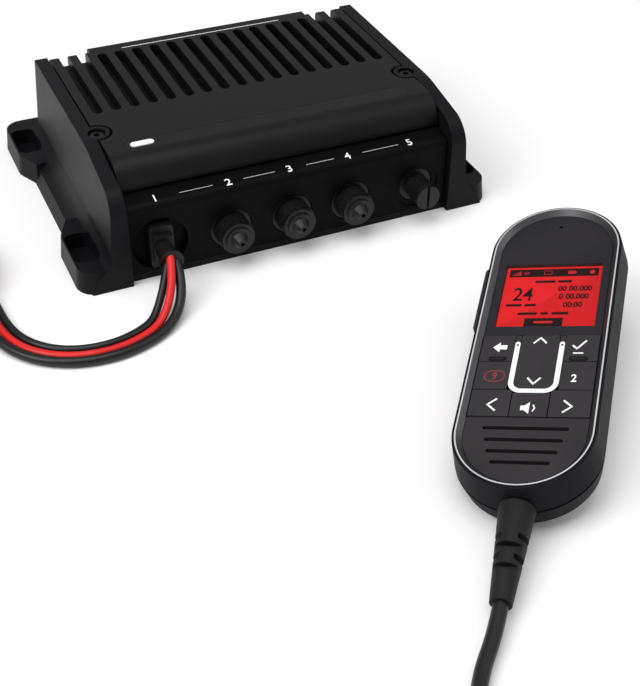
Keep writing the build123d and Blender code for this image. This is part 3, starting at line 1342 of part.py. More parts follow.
def hs_screws():
    """The four screws in the rear shell."""
    group = []
    for x, y in HS_SCREW_POINTS:
        back = screw_back(y)
        head = Pos(x, y, back + HS_SCREW_LIFT + HS_SCREW_H / 2) * Cylinder(HS_SCREW_R, HS_SCREW_H)
        group.append(head)
    return Compound(children=group)


# ------------------------------------------------------------------ handset cord boot
def boot_channel(clearance):
    """The way through the shells' lower end for the boot's root, with room for its flange."""
    start = -HS_L / 2
    way = rod(BOOT_ROOT_R + clearance, start - 1, start + BOOT_WAY, 0, BOOT_Z)
    return way


def cord_boot():
    """The segmented strain relief at the handset's lower end, tapering to the cord."""
    start = -HS_L / 2
    end = start - BOOT_L
    body = Pos(0, start - BOOT_L / 2, BOOT_Z) * Rot(X=90) * Cone(BOOT_R, BOOT_TIP_R, BOOT_L)
    segment = (BOOT_L - BOOT_COLLAR_L - BOOT_SLEEVE_L) / BOOT_SEGMENTS
    for index in range(BOOT_SEGMENTS):
        y = start - BOOT_COLLAR_L - segment * (index + 0.5)
        radius = BOOT_R + (BOOT_TIP_R - BOOT_R) * (start - y) / BOOT_L
        slit = Pos(radius, 0, 0) * Box(radius, BOOT_SLIT, 4 * BOOT_R)
        notch = slit + mirror(slit, Plane.YZ)
        body = body - Pos(0, y, BOOT_Z) * Rot(Y=90 * (index % 2)) * notch
    root = rod(BOOT_ROOT_R, start + BOOT_ROOT_L, start - 1, 0, BOOT_Z)
    return root + body - rod(HS_CORD_D / 2, end - 1, end + BOOT_SOCKET, 0, BOOT_Z)


# ------------------------------------------------------------------ cords
def arc_radii(points):
    """For each inner point of a route, the largest arc that its two runs allow."""
    radii = []
    for a, b, c in zip(points, points[1:], points[2:]):
        before = Vector(*b) - Vector(*a)
        after = Vector(*c) - Vector(*b)
        half_turn = math.radians(before.get_angle(after)) / 2
        radii.append(BEND_SHARE * min(before.length, after.length) / math.tan(half_turn))
    return radii


def cord_tube(name, points, diameter):
    """A round tube along straight runs joined by tangent arcs."""
    radii = arc_radii(points)
    path = FilletPolyline(*points, radius=radii)
    start = Plane(origin=path @ 0, z_dir=path % 0)
    tube = sweep(start * Circle(diameter / 2), path=path)
    share = tube.volume / (math.pi * diameter ** 2 / 4 * path.length)
    print(name, "length", round(path.length, 1), "volume share", round(share, 4), "radii",
          [round(r, 1) for r in radii])
    return tube


def hs_point(x, y, z):
    """A point of the handset's frame in the part's frame."""
    marker = lay_down(Pos(x, y, z) * Box(1, 1, 1))
    centre = marker.center()
    return (centre.X, centre.Y, centre.Z)


def flat_ring(centre, inner, outer, height):
    """The outer shape of a coil lying on the floor."""
    section = Rectangle(outer - inner, height)
    section = fillet(section.vertices(), min(outer - inner, height) * RING_ROUNDING)
    plane = Plane(origin=(centre[0], centre[1], 0), x_dir=(1, 0, 0), z_dir=(0, -1, 0))
    placed = plane * Pos((inner + outer) / 2, height / 2) * section
    return revolve(placed, Axis((centre[0], centre[1], 0), (0, 0, 1)))


def handset_cord_route():
    """The handset's cord, out of its boot, down to the floor and away to its coil."""
    end = -HS_L / 2 - BOOT_L
    return [
        hs_point(0, end + BOOT_SOCKET, BOOT_Z),
        hs_point(0, end - CORD_LEAD_OUT, BOOT_Z),
        (-49.0, -372.0, 3.6),
        (-58.0, -385.5, 3.4),
        (-61.5, -399.0, 3.4),
        (-60.8, -409.5, 3.4),
    ]


def handset_cord():
    """The handset's cord where it isn't coiled: up to the coil, and from it to the plug."""
    main = cord_tube("handset_cord", handset_cord_route(), HS_CORD_D)
    tail = cord_tube("handset_cord tail", CORD_TAIL, HS_CORD_D)
    return Compound(children=[main, tail])


def cord_plug():
    """The moulded plug at the end of the handset's cord: relief, grip, flange and nose."""
    x, y, z = CORD_TAIL[-1]
    place = Pos(x, y, z) * Rot(Y=-90)
    cord_r, grip_r, relief_l = CORD_PLUG_RELIEF
    grip_mid = relief_l + CORD_PLUG_GRIP_L / 2
    flange_start = relief_l + CORD_PLUG_GRIP_L
    nose_start = flange_start + CORD_PLUG_FLANGE_L
    end = nose_start + CORD_PLUG_NOSE_L
    plug = Pos(0, 0, relief_l / 2) * Cone(cord_r, grip_r, relief_l)
    plug = plug + Pos(0, 0, grip_mid) * Cylinder(CORD_PLUG_R, CORD_PLUG_GRIP_L)
    flange_mid = flange_start + CORD_PLUG_FLANGE_L / 2
    plug = plug + Pos(0, 0, flange_mid) * Cylinder(CORD_PLUG_FLANGE_R, CORD_PLUG_FLANGE_L)
    plug = plug + Pos(0, 0, (nose_start + end) / 2) * Cylinder(CORD_PLUG_NOSE_R, CORD_PLUG_NOSE_L)
    plug = plug - Pos(0, 0, end) * Cylinder(CORD_PLUG_BORE_R, 2 * CORD_PLUG_BORE_DEPTH)
    groove = Pos(CORD_PLUG_R, 0, grip_mid) * Cylinder(CORD_PLUG_GRIP_R, CORD_PLUG_GROOVE_L)
    for turn in range(CORD_PLUG_GRIPS):
        plug = plug - Rot(Z=360 / CORD_PLUG_GRIPS * (turn + 0.5)) * groove
    return place * plug


def lead(name):
    """One power lead where it isn't coiled."""
    return cord_tube(name, LEAD_ROUTES[name], LEAD_DIAMETERS[name])


BUILDERS = {
    "chassis": chassis,
    "heatsink_cover": heatsink_cover,
    "front_panel": front_panel,
    "rear_panel": rear_panel,
    "cover_screws": cover_screws,
    "label_strip": label_strip,
    "status_light": status_light,
    "main_board": main_board,
    "board_screws": board_screws,
    "power_module": power_module,
    "shield_cans": shield_cans,
    "power_socket": power_socket,
    "power_plug": power_plug,
    "data_socket": data_socket,
    "data_cap": data_cap,
    "data_seal": data_seal,
    "antenna_socket": antenna_socket,
    "gps_socket": gps_socket,
}

HANDSET_BUILDERS = {
    "handset_front_shell": hs_front_shell,
    "handset_rear_shell": hs_rear_shell,
    "handset_seal": hs_seal,
    "trim_ring": trim_ring,
    "display_panel": display_panel,
    "display_window": display_window,
    "lcd_module": lcd_module,
    "grille_panel": grille_panel,
    "key_light": key_light,
    "rocker_key": rocker_key,
    "handset_board": hs_board,
    "speaker": speaker,
    "microphone": microphone,
    "talk_key": talk_key,
    "talk_switch": talk_switch,
    "distress_flap": distress_flap,
    "distress_button": distress_button,
    "hanger_stud": hanger_stud,
    "handset_screws": hs_screws,
    "cord_boot": cord_boot,
}


def build_box():
    """Write the transceiver box's nodes."""
    for name, make in BUILDERS.items():
        save(name, make())
    sockets = [accessory_socket(x) for x in ACCESSORY_X]
    save("accessory_sockets", Compound(children=sockets))
    for number, x in enumerate(ACCESSORY_X, start=1):
        save(f"cap_plug_{number}", cap_plug(x))
        save(f"lock_ring_{number}", lock_ring(x))


def build_handset():
    """Write the handset's nodes, laid down beside the box."""
    for name, make in HANDSET_BUILDERS.items():
        save(name, lay_down(make()))
    for name in key_cells():
        save(name, lay_down(key(name)))


def build_cords():
    """Write the cords, their coils and the plug at the end of the handset's cord."""
    save("handset_cord", handset_cord())
    save("cord_coil", flat_ring(CORD_COIL_AT, CORD_COIL_IN_R, CORD_COIL_OUT_R, CORD_COIL_H))
    save("cord_plug", cord_plug())
    for name in LEAD_ROUTES:
        save(name, lead(name))
    save("lead_coil", flat_ring(LEAD_COIL_AT, LEAD_COIL_IN_R, LEAD_COIL_OUT_R, LEAD_COIL_H))


if __name__ == "__main__":
    build_box()
    build_handset()
    build_cords()
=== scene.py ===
"""Dresses the VHF marine radio: finishes, printed marks, display content, ridges, cords and studio."""

import json
import logging
import math
from dataclasses import dataclass, field
from enum import Enum

import bmesh
import bpy
from mathutils import Matrix, Vector
from mathutils.bvhtree import BVHTree


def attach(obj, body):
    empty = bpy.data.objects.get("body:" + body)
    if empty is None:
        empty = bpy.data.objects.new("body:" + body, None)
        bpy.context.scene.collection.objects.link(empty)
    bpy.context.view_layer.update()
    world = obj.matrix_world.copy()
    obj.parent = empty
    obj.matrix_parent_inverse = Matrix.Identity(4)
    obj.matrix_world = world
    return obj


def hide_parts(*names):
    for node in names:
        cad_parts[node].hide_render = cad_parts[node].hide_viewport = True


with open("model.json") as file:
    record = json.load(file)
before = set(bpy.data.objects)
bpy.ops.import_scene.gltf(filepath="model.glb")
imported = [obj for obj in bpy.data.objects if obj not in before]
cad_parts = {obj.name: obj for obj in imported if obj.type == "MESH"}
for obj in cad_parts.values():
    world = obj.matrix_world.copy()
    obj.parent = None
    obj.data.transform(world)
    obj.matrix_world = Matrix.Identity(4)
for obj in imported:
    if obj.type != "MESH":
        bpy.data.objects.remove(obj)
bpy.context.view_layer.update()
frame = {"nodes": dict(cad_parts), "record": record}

LOG = logging.getLogger("radio")
MM = 0.001
Point = tuple[float, float, float]
Flat = tuple[float, float]


# ---------------------------------------------------------------- finishes
class Grain(Enum):
    """How a surface feels to the fingertip."""

    POWDER = "powder"
    SPARK = "spark"
    SATIN = "satin"
    BRUSHED = "brushed"
    SMOOTH = "smooth"


GRAIN_SCALE = {
    Grain.POWDER: 1500.0,
    Grain.SPARK: 2300.0,
    Grain.SATIN: 3200.0,
    Grain.BRUSHED: 900.0,
    Grain.SMOOTH: 600.0,
}
GRAIN_DETAIL = 3.0
GRAIN_DEPTH = 0.12
BRUSHED_STRETCH = (1.0, 0.06, 1.0)
DRIFT_SCALE = 38.0
DRIFT_DETAIL = 4.0
DRIFT_STOPS = (0.3, 0.7)
GLOSS_SPREAD = 0.06
LEAST_ROUGHNESS = 0.03
EDGE_SAMPLES = 6
HAZE_SCALE = 120.0
HAZE_RANGE = (0.05, 0.14)
# painted shade: near-black colour for the light guide's flanks below its crown
FLANK_PAINTED_SHADE = (0.004, 0.004, 0.004, 1.0)


def started(name: str) -> tuple[bpy.types.Material, bool]:
    """Return a finish's material, and whether it is new and still to be filled.

    Args:
        name: The finish's name. The frame's own plain materials carry the bare names.

    Returns:
        The material, and True if it was made just now.
    """
    label = f"{name}_surface"
    made = bpy.data.materials.get(label)
    if made is not None:
        return made, False
    made = bpy.data.materials.new(label)
    made.use_nodes = True
    return made, True


@dataclass(frozen=True)
class Finish:
    """One surface finish: its colour, how the colour drifts, its gloss and its grain."""

    name: str
    colour: Point
    roughness: float = 0.5
    metallic: float = 0.0
    grain: Grain = Grain.SATIN
    bump: float = 0.1
    drift: float = 0.12
    coat: float = 0.0
    glow: float = 0.0
    shine: float = 0.5
    edge: float = 0.0

    def material(self) -> bpy.types.Material:
        """Return this finish's material, made on first use.

        Returns:
            The node material.
        """
        made, fresh = started(self.name)
        if not fresh:
            return made
        nodes, links = made.node_tree.nodes, made.node_tree.links
        shader = nodes["Principled BSDF"]
        shader.inputs["Metallic"].default_value = self.metallic
        shader.inputs["Coat Weight"].default_value = self.coat
        shader.inputs["Specular IOR Level"].default_value = self.shine
        place = nodes.new("ShaderNodeTexCoord")
        stretch = nodes.new("ShaderNodeMapping")
        if self.grain is Grain.BRUSHED:
            stretch.inputs["Scale"].default_value = BRUSHED_STRETCH
        links.new(place.outputs["Object"], stretch.inputs["Vector"])
        fine = nodes.new("ShaderNodeTexNoise")
        fine.inputs["Scale"].default_value = GRAIN_SCALE[self.grain]
        fine.inputs["Detail"].default_value = GRAIN_DETAIL
        links.new(stretch.outputs["Vector"], fine.inputs["Vector"])
        broad = nodes.new("ShaderNodeTexNoise")
        broad.inputs["Scale"].default_value = DRIFT_SCALE
        broad.inputs["Detail"].default_value = DRIFT_DETAIL
        links.new(place.outputs["Object"], broad.inputs["Vector"])
        self._colour(nodes, links, broad, shader)
        gloss = nodes.new("ShaderNodeMapRange")
        gloss.inputs["To Min"].default_value = max(LEAST_ROUGHNESS, self.roughness - GLOSS_SPREAD)
        gloss.inputs["To Max"].default_value = min(1.0, self.roughness + GLOSS_SPREAD)
        links.new(broad.outputs["Fac"], gloss.inputs["Value"])
        links.new(gloss.outputs["Result"], shader.inputs["Roughness"])
        bump = nodes.new("ShaderNodeBump")
        bump.inputs["Strength"].default_value = self.bump
        bump.inputs["Distance"].default_value = GRAIN_DEPTH * MM
        links.new(fine.outputs["Fac"], bump.inputs["Height"])
        if self.edge:
            soft = nodes.new("ShaderNodeBevel")
            soft.samples = EDGE_SAMPLES
            soft.inputs["Radius"].default_value = self.edge * MM
            links.new(soft.outputs["Normal"], bump.inputs["Normal"])
        links.new(bump.outputs["Normal"], shader.inputs["Normal"])
        return made

    def _colour(self, nodes: object, links: object, noise: object, shader: object) -> None:
        """Let the colour drift a little over the surface, and glow where the finish does.

        Args:
            nodes: The material's nodes.
            links: The material's links.
            noise: The broad noise that drives the drift.
            shader: The surface shader.
        """
        ramp = nodes.new("ShaderNodeValToRGB")
        low, high = ramp.color_ramp.elements
        low.position, high.position = DRIFT_STOPS
        low.color = (*[c * (1.0 - self.drift) for c in self.colour], 1.0)
        high.color = (*[min(1.0, c * (1.0 + self.drift)) for c in self.colour], 1.0)
        links.new(noise.outputs["Fac"], ramp.inputs["Fac"])
        links.new(ramp.outputs["Color"], shader.inputs["Base Color"])
        if self.glow:
            links.new(ramp.outputs["Color"], shader.inputs["Emission Color"])
            shader.inputs["Emission Strength"].default_value = self.glow


@dataclass(frozen=True)
class Pane:
    """The clear, hard-coated pane over the display."""

    name: str = "clear_pane"
    tint: Point = (0.97, 0.97, 0.98)
    gloss_share: float = 0.025

    def material(self) -> bpy.types.Material:
        """Return the pane's material, made on first use.

        Returns:
            The node material.
        """
        made, fresh = started(self.name)
        if not fresh:
            return made
        nodes, links = made.node_tree.nodes, made.node_tree.links
        nodes.remove(nodes["Principled BSDF"])
        clear = nodes.new("ShaderNodeBsdfTransparent")
        clear.inputs["Color"].default_value = (*self.tint, 1.0)
        shine = nodes.new("ShaderNodeBsdfGlossy")
        place = nodes.new("ShaderNodeTexCoord")
        haze = nodes.new("ShaderNodeTexNoise")
        haze.inputs["Scale"].default_value = HAZE_SCALE
        links.new(place.outputs["Object"], haze.inputs["Vector"])
        rough = nodes.new("ShaderNodeMapRange")
        rough.inputs["To Min"].default_value, rough.inputs["To Max"].default_value = HAZE_RANGE
        links.new(haze.outputs["Fac"], rough.inputs["Value"])
        links.new(rough.outputs["Result"], shine.inputs["Roughness"])
        mix = nodes.new("ShaderNodeMixShader")
        mix.inputs["Fac"].default_value = self.gloss_share
        links.new(clear.outputs[0], mix.inputs[1])
        links.new(shine.outputs[0], mix.inputs[2])
        links.new(mix.outputs[0], nodes["Material Output"].inputs["Surface"])
        return made


HANDSET_AT = (54.3, -246.3, 25.98)
HANDSET_TURNS = ((-38.2, "Z"), (9.0, "X"), (-14.0, "Y"))


def handset_place() -> Matrix:
    """Return where the handset lies: right side up, on its heel and its hanger stud.

    Returns:
        Its place, with lengths in metres.
    """
    place = Matrix.Translation(Vector(HANDSET_AT) * MM)
    for degrees, axis in HANDSET_TURNS:
        place = place @ Matrix.Rotation(math.radians(degrees), 4, axis)
    return place


@dataclass(frozen=True)
class GuideWithPaintedShade(Finish):
    """A light guide that is bare on its crown, with shade painted near-black on its flanks below the crown.
    """

    crown: float = 13.0
    fade: float = 0.05

    def _colour(self, nodes: object, links: object, noise: object, shader: object) -> None:
        """Paint shade on the guide below its crown, darkening its flanks where they sink between the keys.

        Args:
            nodes: The material's nodes.
            links: The material's links.
            noise: The broad noise that drives the drift.
            shader: The surface shader.
        """
        super()._colour(nodes, links, noise, shader)
        bare = shader.inputs["Base Color"].links[0].from_socket
        place = handset_place()
        where = nodes.new("ShaderNodeTexCoord")
        from_place = nodes.new("ShaderNodeVectorMath")
        from_place.operation = "SUBTRACT"
        from_place.inputs[1].default_value = place.translation
        height = nodes.new("ShaderNodeVectorMath")
        height.operation = "DOT_PRODUCT"
        height.inputs[1].default_value = place.to_3x3() @ Vector((0.0, 0.0, 1.0))
        # mask for the painted shade: 0 below the crown height, 1 on the crown
        crown = nodes.new("ShaderNodeMapRange")
        crown.inputs["From Min"].default_value = (self.crown - self.fade) * MM
        crown.inputs["From Max"].default_value = self.crown * MM
        blend = nodes.new("ShaderNodeMix")
        blend.data_type = "RGBA"
        colours = [socket for socket in blend.inputs if socket.type == "RGBA"]
        # painted shade: below the crown the guide's colour fades to near-black
        colours[0].default_value = FLANK_PAINTED_SHADE
        links.new(where.outputs["Object"], from_place.inputs[0])
        links.new(from_place.outputs["Vector"], height.inputs[0])
        links.new(height.outputs["Value"], crown.inputs["Value"])
        links.new(crown.outputs["Result"], blend.inputs[0])
        links.new(bare, colours[1])
        mixed = [socket for socket in blend.outputs if socket.type == "RGBA"][0]
        links.new(mixed, shader.inputs["Base Color"])


FINISHES: dict[str, Finish | Pane] = {
    made.name: made for made in (
        Finish("powder_black", (0.0050, 0.0044, 0.0052), 0.43, grain=Grain.POWDER, bump=0.4, shine=0.19,
               edge=0.5),
        Finish("black_steel", (0.012, 0.012, 0.013), 0.34, 0.5, Grain.BRUSHED, 0.1, shine=0.4),
        Finish("inlay_black", (0.0046, 0.0042, 0.0048), 0.38, bump=0.06, shine=0.22),
        Finish("light_guide", (0.82, 0.84, 0.86), 0.28, grain=Grain.SMOOTH, bump=0.03, drift=0.03),
        Finish("circuit_board", (0.012, 0.10, 0.04), 0.4, bump=0.2),
        Finish("plated_steel", (0.55, 0.56, 0.57), 0.3, 1.0, Grain.BRUSHED, 0.08),
        Finish("module_shell", (0.50, 0.51, 0.52), 0.36, 1.0, Grain.BRUSHED, 0.08),
        Finish("tin_plate", (0.60, 0.61, 0.62), 0.3, 1.0, Grain.SMOOTH, 0.08),
        Finish("black_nylon", (0.0050, 0.0050, 0.0056), 0.38, grain=Grain.SPARK, bump=0.22, shine=0.3,
               edge=0.3),
        Finish("nickel_brass", (0.60, 0.585, 0.55), 0.22, 1.0, Grain.SMOOTH, 0.04, 0.06),
        Finish("handset_plastic", (0.0095, 0.0095, 0.0115), 0.52, grain=Grain.SPARK, bump=0.28, shine=0.06,
               edge=0.4),
        Finish("black_rubber", (0.0075, 0.0075, 0.008), 0.60, bump=0.15, shine=0.24),
        Finish("bevelled_metal", (0.105, 0.105, 0.110), 0.34, 0.85, Grain.BRUSHED, 0.05, 0.08),
        Finish("face_plastic", (0.0150, 0.0135, 0.0180), 0.44, grain=Grain.SPARK, bump=0.18, shine=0.2),
        Pane(),
        Finish("lcd_red", (0.62, 0.011, 0.014), 0.6, grain=Grain.SMOOTH, bump=0.0, drift=0.04, glow=0.2,
               shine=0.05),
        Finish("speaker_black", (0.010, 0.010, 0.011), 0.7, grain=Grain.SPARK, bump=0.3, shine=0.2),
        Finish("cord_jacket", (0.0075, 0.0075, 0.008), 0.42, bump=0.08, shine=0.3),
        Finish("key_rubber", (0.0290, 0.0252, 0.0290), 0.50, bump=0.12, shine=0.19, edge=0.25),
        Finish("distress_red", (0.52, 0.014, 0.018), 0.4, bump=0.06),
        Finish("lead_jacket_black", (0.006, 0.006, 0.007), 0.34, grain=Grain.SMOOTH, bump=0.06, shine=0.35),
        Finish("lead_jacket_red", (0.66, 0.014, 0.014), 0.34, grain=Grain.SMOOTH, bump=0.06, shine=0.3),
        Finish("cap_rubber", (0.0048, 0.0048, 0.0054), 0.40, bump=0.14, shine=0.3, edge=0.25),
    )
}
INK_WHITE = Finish("ink_white", (0.84, 0.84, 0.84), 0.5, bump=0.05, drift=0.04)
INK_PALE = Finish("ink_pale", (0.46, 0.46, 0.47), 0.5, bump=0.05, drift=0.04)
INK_RED = Finish("ink_red", (0.24, 0.032, 0.032), 0.5, bump=0.05, drift=0.06, shine=0.2)
LINE_BRIGHT = Finish("line_bright", (0.74, 0.75, 0.77), 0.3, 0.55, Grain.BRUSHED, 0.04, 0.06)
RIDGE_BLACK = Finish("ridge_black", (0.004, 0.004, 0.0045), 0.45, bump=0.05, shine=0.15)
SCREEN_BLACK = Finish("screen_black", (0.012, 0.002, 0.003), 0.6, grain=Grain.SMOOTH, bump=0.0, drift=0.05,
                      shine=0.05)
SCREEN_RED = Finish("screen_red", (0.46, 0.014, 0.017), 0.6, grain=Grain.SMOOTH, bump=0.0, drift=0.04,
                    glow=0.1, shine=0.05)
OWN_FINISH = {
    "chassis": Finish("cast_black", (0.0046, 0.0043, 0.0056), 0.46, grain=Grain.POWDER, bump=0.4,
                      shine=0.12, edge=0.5),
    "front_panel": Finish("panel_black", (0.0027, 0.0024, 0.0029), 0.46, grain=Grain.POWDER, bump=0.35,
                          shine=0.06, edge=0.5),
    "grille_panel": Finish("grille_plastic", (0.0245, 0.0215, 0.0240), 0.46, grain=Grain.SPARK, bump=0.18,
                           shine=0.2),
    # the light guide carries painted shade on its flanks below the crown
    "key_light": GuideWithPaintedShade("guide_painted_shade", (0.82, 0.84, 0.86), 0.28, grain=Grain.SMOOTH, bump=0.03,
                             drift=0.03),
}


# ---------------------------------------------------------------- drawing marks
@dataclass
class Mark:
    """A flat printed mark, as points and faces in millimetres."""

    points: list[Flat] = field(default_factory=list)
    faces: list[tuple[int, ...]] = field(default_factory=list)

    def add(self, points: list[Flat], faces: list[tuple[int, ...]]) -> "Mark":
        """Add points and faces to the mark.

        Args:
            points: New points.
            faces: Faces that count from the first new point.

        Returns:
            The mark itself.
        """
        start = len(self.points)
        self.points.extend(points)
        self.faces.extend(tuple(start + i for i in f) for f in faces)
        return self

    def stroke(self, a: Flat, b: Flat, width: float, steps: int = 1) -> "Mark":
        """Add a straight stroke with square ends.

        Args:
            a: Where it starts.
            b: Where it ends.
            width: Its width.
            steps: How many lengths it is cut into, so that it can follow a curved face.

        Returns:
            The mark itself.
        """
        along = Vector(b) - Vector(a)
        side = Vector((-along.y, along.x)).normalized() * width / 2
        points = []
        for i in range(steps + 1):
            at = Vector(a) + along * i / steps
            points += [tuple(at + side), tuple(at - side)]
        return self.add(points, [(2 * i, 2 * i + 1, 2 * i + 3, 2 * i + 2) for i in range(steps)])

    def line(self, points: list[Flat], width: float) -> "Mark":
        """Add a chain of strokes.

        Args:
            points: The corners.
            width: The strokes' width.

        Returns:
            The mark itself.
        """
        for a, b in zip(points, points[1:]):
            self.stroke(a, b, width)
        for x, y in points[1:-1]:
            self.disc((x, y), width / 2, 12)
        return self

    def disc(self, at: Flat, radius: float, sides: int = 24) -> "Mark":
        """Add a round spot.

        Args:
            at: Its centre.
            radius: Its radius.
            sides: How many sides it has.

        Returns:
            The mark itself.
        """
        turn = [2 * math.pi * i / sides for i in range(sides)]
        return self.add([(at[0] + radius * math.cos(t), at[1] + radius * math.sin(t)) for t in turn],
                        [tuple(range(sides))])

    def pill(self, at: Flat, size: Flat, radius: float, width: float = 0.0, steps: int = 7) -> "Mark":
        """Add a rectangle with round corners, filled or as an outline.

        Args:
            at: Its centre.
            size: Its width and height.
            radius: Its corners' radius.
            width: The outline's width, or 0 for a filled one.
            steps: Points to a corner.

        Returns:
            The mark itself.
        """
        outer = rounded(at, size, radius, steps)
        if not width:
            return self.add(outer, [tuple(range(len(outer)))])
        inner = rounded(at, (size[0] - 2 * width, size[1] - 2 * width), max(0.02, radius - width), steps)
        n = len(outer)
        return self.add(outer + inner, [(i, (i + 1) % n, n + (i + 1) % n, n + i) for i in range(n)])


def rounded(at: Flat, size: Flat, radius: float, steps: int = 7) -> list[Flat]:
    """Points round a rectangle with round corners.

    Args:
        at: Its centre.
        size: Its width and height.
        radius: Its corners' radius.
        steps: Points to a corner.

    Returns:
        The points, anticlockwise.
    """
    x, y = size[0] / 2 - radius, size[1] / 2 - radius
    points = []
    for quarter, (cx, cy) in enumerate(((x, y), (-x, y), (-x, -y), (x, -y))):
        for i in range(steps + 1):
            t = math.pi / 2 * (quarter + i / steps)
            points.append((at[0] + cx + radius * math.cos(t), at[1] + cy + radius * math.sin(t)))
    return points


@dataclass
class Surface:
    """A flat drawing frame laid on shown CAD nodes: marks drawn in it land on the nodes' own faces."""

    place: Matrix
    lift: float = 0.05
    reach: float = 30.0

    def put(self, name: str, mark: Mark, finish: Finish, body: str, nodes: list[str],
            start: float) -> bpy.types.Object:
        """Lay a mark on the nodes under it.

        Args:
            name: The piece's name.
            mark: The mark.
            finish: Its finish.
            body: The CAD body that it rides on.
            nodes: The CAD nodes that it may land on.
            start: How far above the frame's plane the mark is dropped from, in millimetres.

        Returns:
            The printed piece.
        """
        down = -(self.place.to_3x3() @ Vector((0, 0, 1))).normalized()
        trees = [tree_of(n) for n in nodes]
        points = []
        for x, y in mark.points:
            origin = self.place @ (Vector((x, y, start)) * MM)
            hits = [t.ray_cast(origin, down, self.reach * MM) for t in trees]
            near = [h for h in hits if h[0] is not None]
            landed = min(near, key=lambda h: h[3])[0] if near else self.place @ (Vector((x, y, 0)) * MM)
            points.append(landed - down * self.lift * MM)
        return piece(name, points, mark.faces, finish, body)


TREES: dict[str, BVHTree] = {}


def tree_of(node: str) -> BVHTree:
    """Return the search tree of a CAD node's faces.

    Args:
        node: The node's name.

    Returns:
        Its tree, made on first use.
    """
    if node not in TREES:
        mesh = frame["nodes"][node].data
        points = [v.co.copy() for v in mesh.vertices]
        TREES[node] = BVHTree.FromPolygons(points, [tuple(p.vertices) for p in mesh.polygons])
    return TREES[node]


def piece(name: str, points: list[Vector], faces: list[tuple[int, ...]], finish: Finish,
          body: str) -> bpy.types.Object:
    """Make a mesh piece that rides on a CAD body.

    Args:
        name: The piece's name.
        points: Its points, in metres.
        faces: Its faces.
        finish: Its finish.
        body: The body that it rides on.

    Returns:
        The piece.
    """
    mesh = bpy.data.meshes.new(name)
    mesh.from_pydata(points, [], faces)
    mesh.materials.append(finish.material())
    made = bpy.data.objects.new(name, mesh)
    bpy.context.scene.collection.objects.link(made)
    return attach(made, body)


def mesh_of(curve: bpy.types.Curve) -> bpy.types.Mesh:
    """Turn a curve or a line of characters into a mesh of its own.

    Args:
        curve: The curve, which stays as it is.

    Returns:
        The mesh.
    """
    holder = bpy.data.objects.new("holder", curve)
    bpy.context.scene.collection.objects.link(holder)
    bpy.context.view_layer.update()
    mesh = bpy.data.meshes.new_from_object(holder.evaluated_get(bpy.context.evaluated_depsgraph_get()))
    bpy.data.objects.remove(holder)
    return mesh


def sliced(mesh: bpy.types.Mesh, slices: int) -> None:
    """Cut a flat mesh across at even heights, so that it can follow a curved face.

    Args:
        mesh: The mesh, which is changed.
        slices: How many bands it ends up in.
    """
    work = bmesh.new()
    work.from_mesh(mesh)
    low, high = min(v.co.y for v in work.verts), max(v.co.y for v in work.verts)
    for i in range(1, slices):
        parts = [*work.verts, *work.edges, *work.faces]
        level = (0.0, low + (high - low) * i / slices, 0.0)
        bmesh.ops.bisect_plane(work, geom=parts, plane_co=level, plane_no=(0.0, 1.0, 0.0))
    work.to_mesh(mesh)
    work.free()


def lettering(words: str, at: Flat, height: float, weight: float = 0.012, squeeze: float = 0.85,
              slices: int = 1) -> Mark:
    """Draw plain characters, centred on a point.

    Args:
        words: Numbers or single generic characters.
        at: Their centre.
        height: The characters' height in millimetres.
        weight: How far the strokes are thickened, as a share of the height.
        squeeze: The width's share of the plain width.
        slices: How many bands the characters are cut into.

    Returns:
        The mark.
    """
    curve = bpy.data.curves.new("lettering", "FONT")
    curve.body = words
    curve.size = 1.0
    curve.offset = weight
    mesh = mesh_of(curve)
    sliced(mesh, slices)
    xs = [v.co.x for v in mesh.vertices]
    ys = [v.co.y for v in mesh.vertices]
    scale = height / (max(ys) - min(ys))
    mid = ((max(xs) + min(xs)) / 2, (max(ys) + min(ys)) / 2)
    points = [(at[0] + (v.co.x - mid[0]) * scale * squeeze, at[1] + (v.co.y - mid[1]) * scale)
              for v in mesh.vertices]
    mark = Mark().add(points, [tuple(p.vertices) for p in mesh.polygons])
    bpy.data.curves.remove(curve)
    bpy.data.meshes.remove(mesh)
    return mark


# ---------------------------------------------------------------- the box
@dataclass
class Box:
    """The finned box with its connector panel."""

    label_y: float = -78.0
    label_x: tuple[float, ...] = (-74.9, -35.0, -0.8, 32.9, 70.0)
    label_height: float = 5.0
    label_weight: float = 0.01
    label_bands: int = 12
    dash_width: float = 0.42
    dash_steps: int = 6
    dashes: tuple[Flat, ...] = ((-61.8, -43.5), (-26.6, -9.0), (9.0, 25.0), (41.9, 63.3))
    back_line: Flat = (-49.0, 49.5)
    back_line_y: float = 57.6
    back_line_width: float = 0.6
    back_line_steps: int = 24
    above_panel: float = 60.0
    above_cover: float = 70.0

    def dress(self) -> None:
        """Print the socket numbers, the dashes between them and the fine line at the back."""
        top = Surface(Matrix.Identity(4))
        for number, x in enumerate(self.label_x, 1):
            digit = lettering(str(number), (x, self.label_y), self.label_height, self.label_weight, 1.0,
                              self.label_bands)
            top.put(f"socket_number_{number}", digit, INK_WHITE, "base", ["front_panel"], self.above_panel)
            LOG.info("socket number %d", number)
        marks = Mark()
        for a, b in self.dashes:
            marks.stroke((a, self.label_y), (b, self.label_y), self.dash_width, self.dash_steps)
        top.put("socket_dashes", marks, INK_PALE, "base", ["front_panel"], self.above_panel)
        start, end = ((x, self.back_line_y) for x in self.back_line)
        line = Mark().stroke(start, end, self.back_line_width, self.back_line_steps)
        top.put("back_line", line, INK_WHITE, "base", ["heatsink_cover"], self.above_cover)
        LOG.info("dashes and back line")


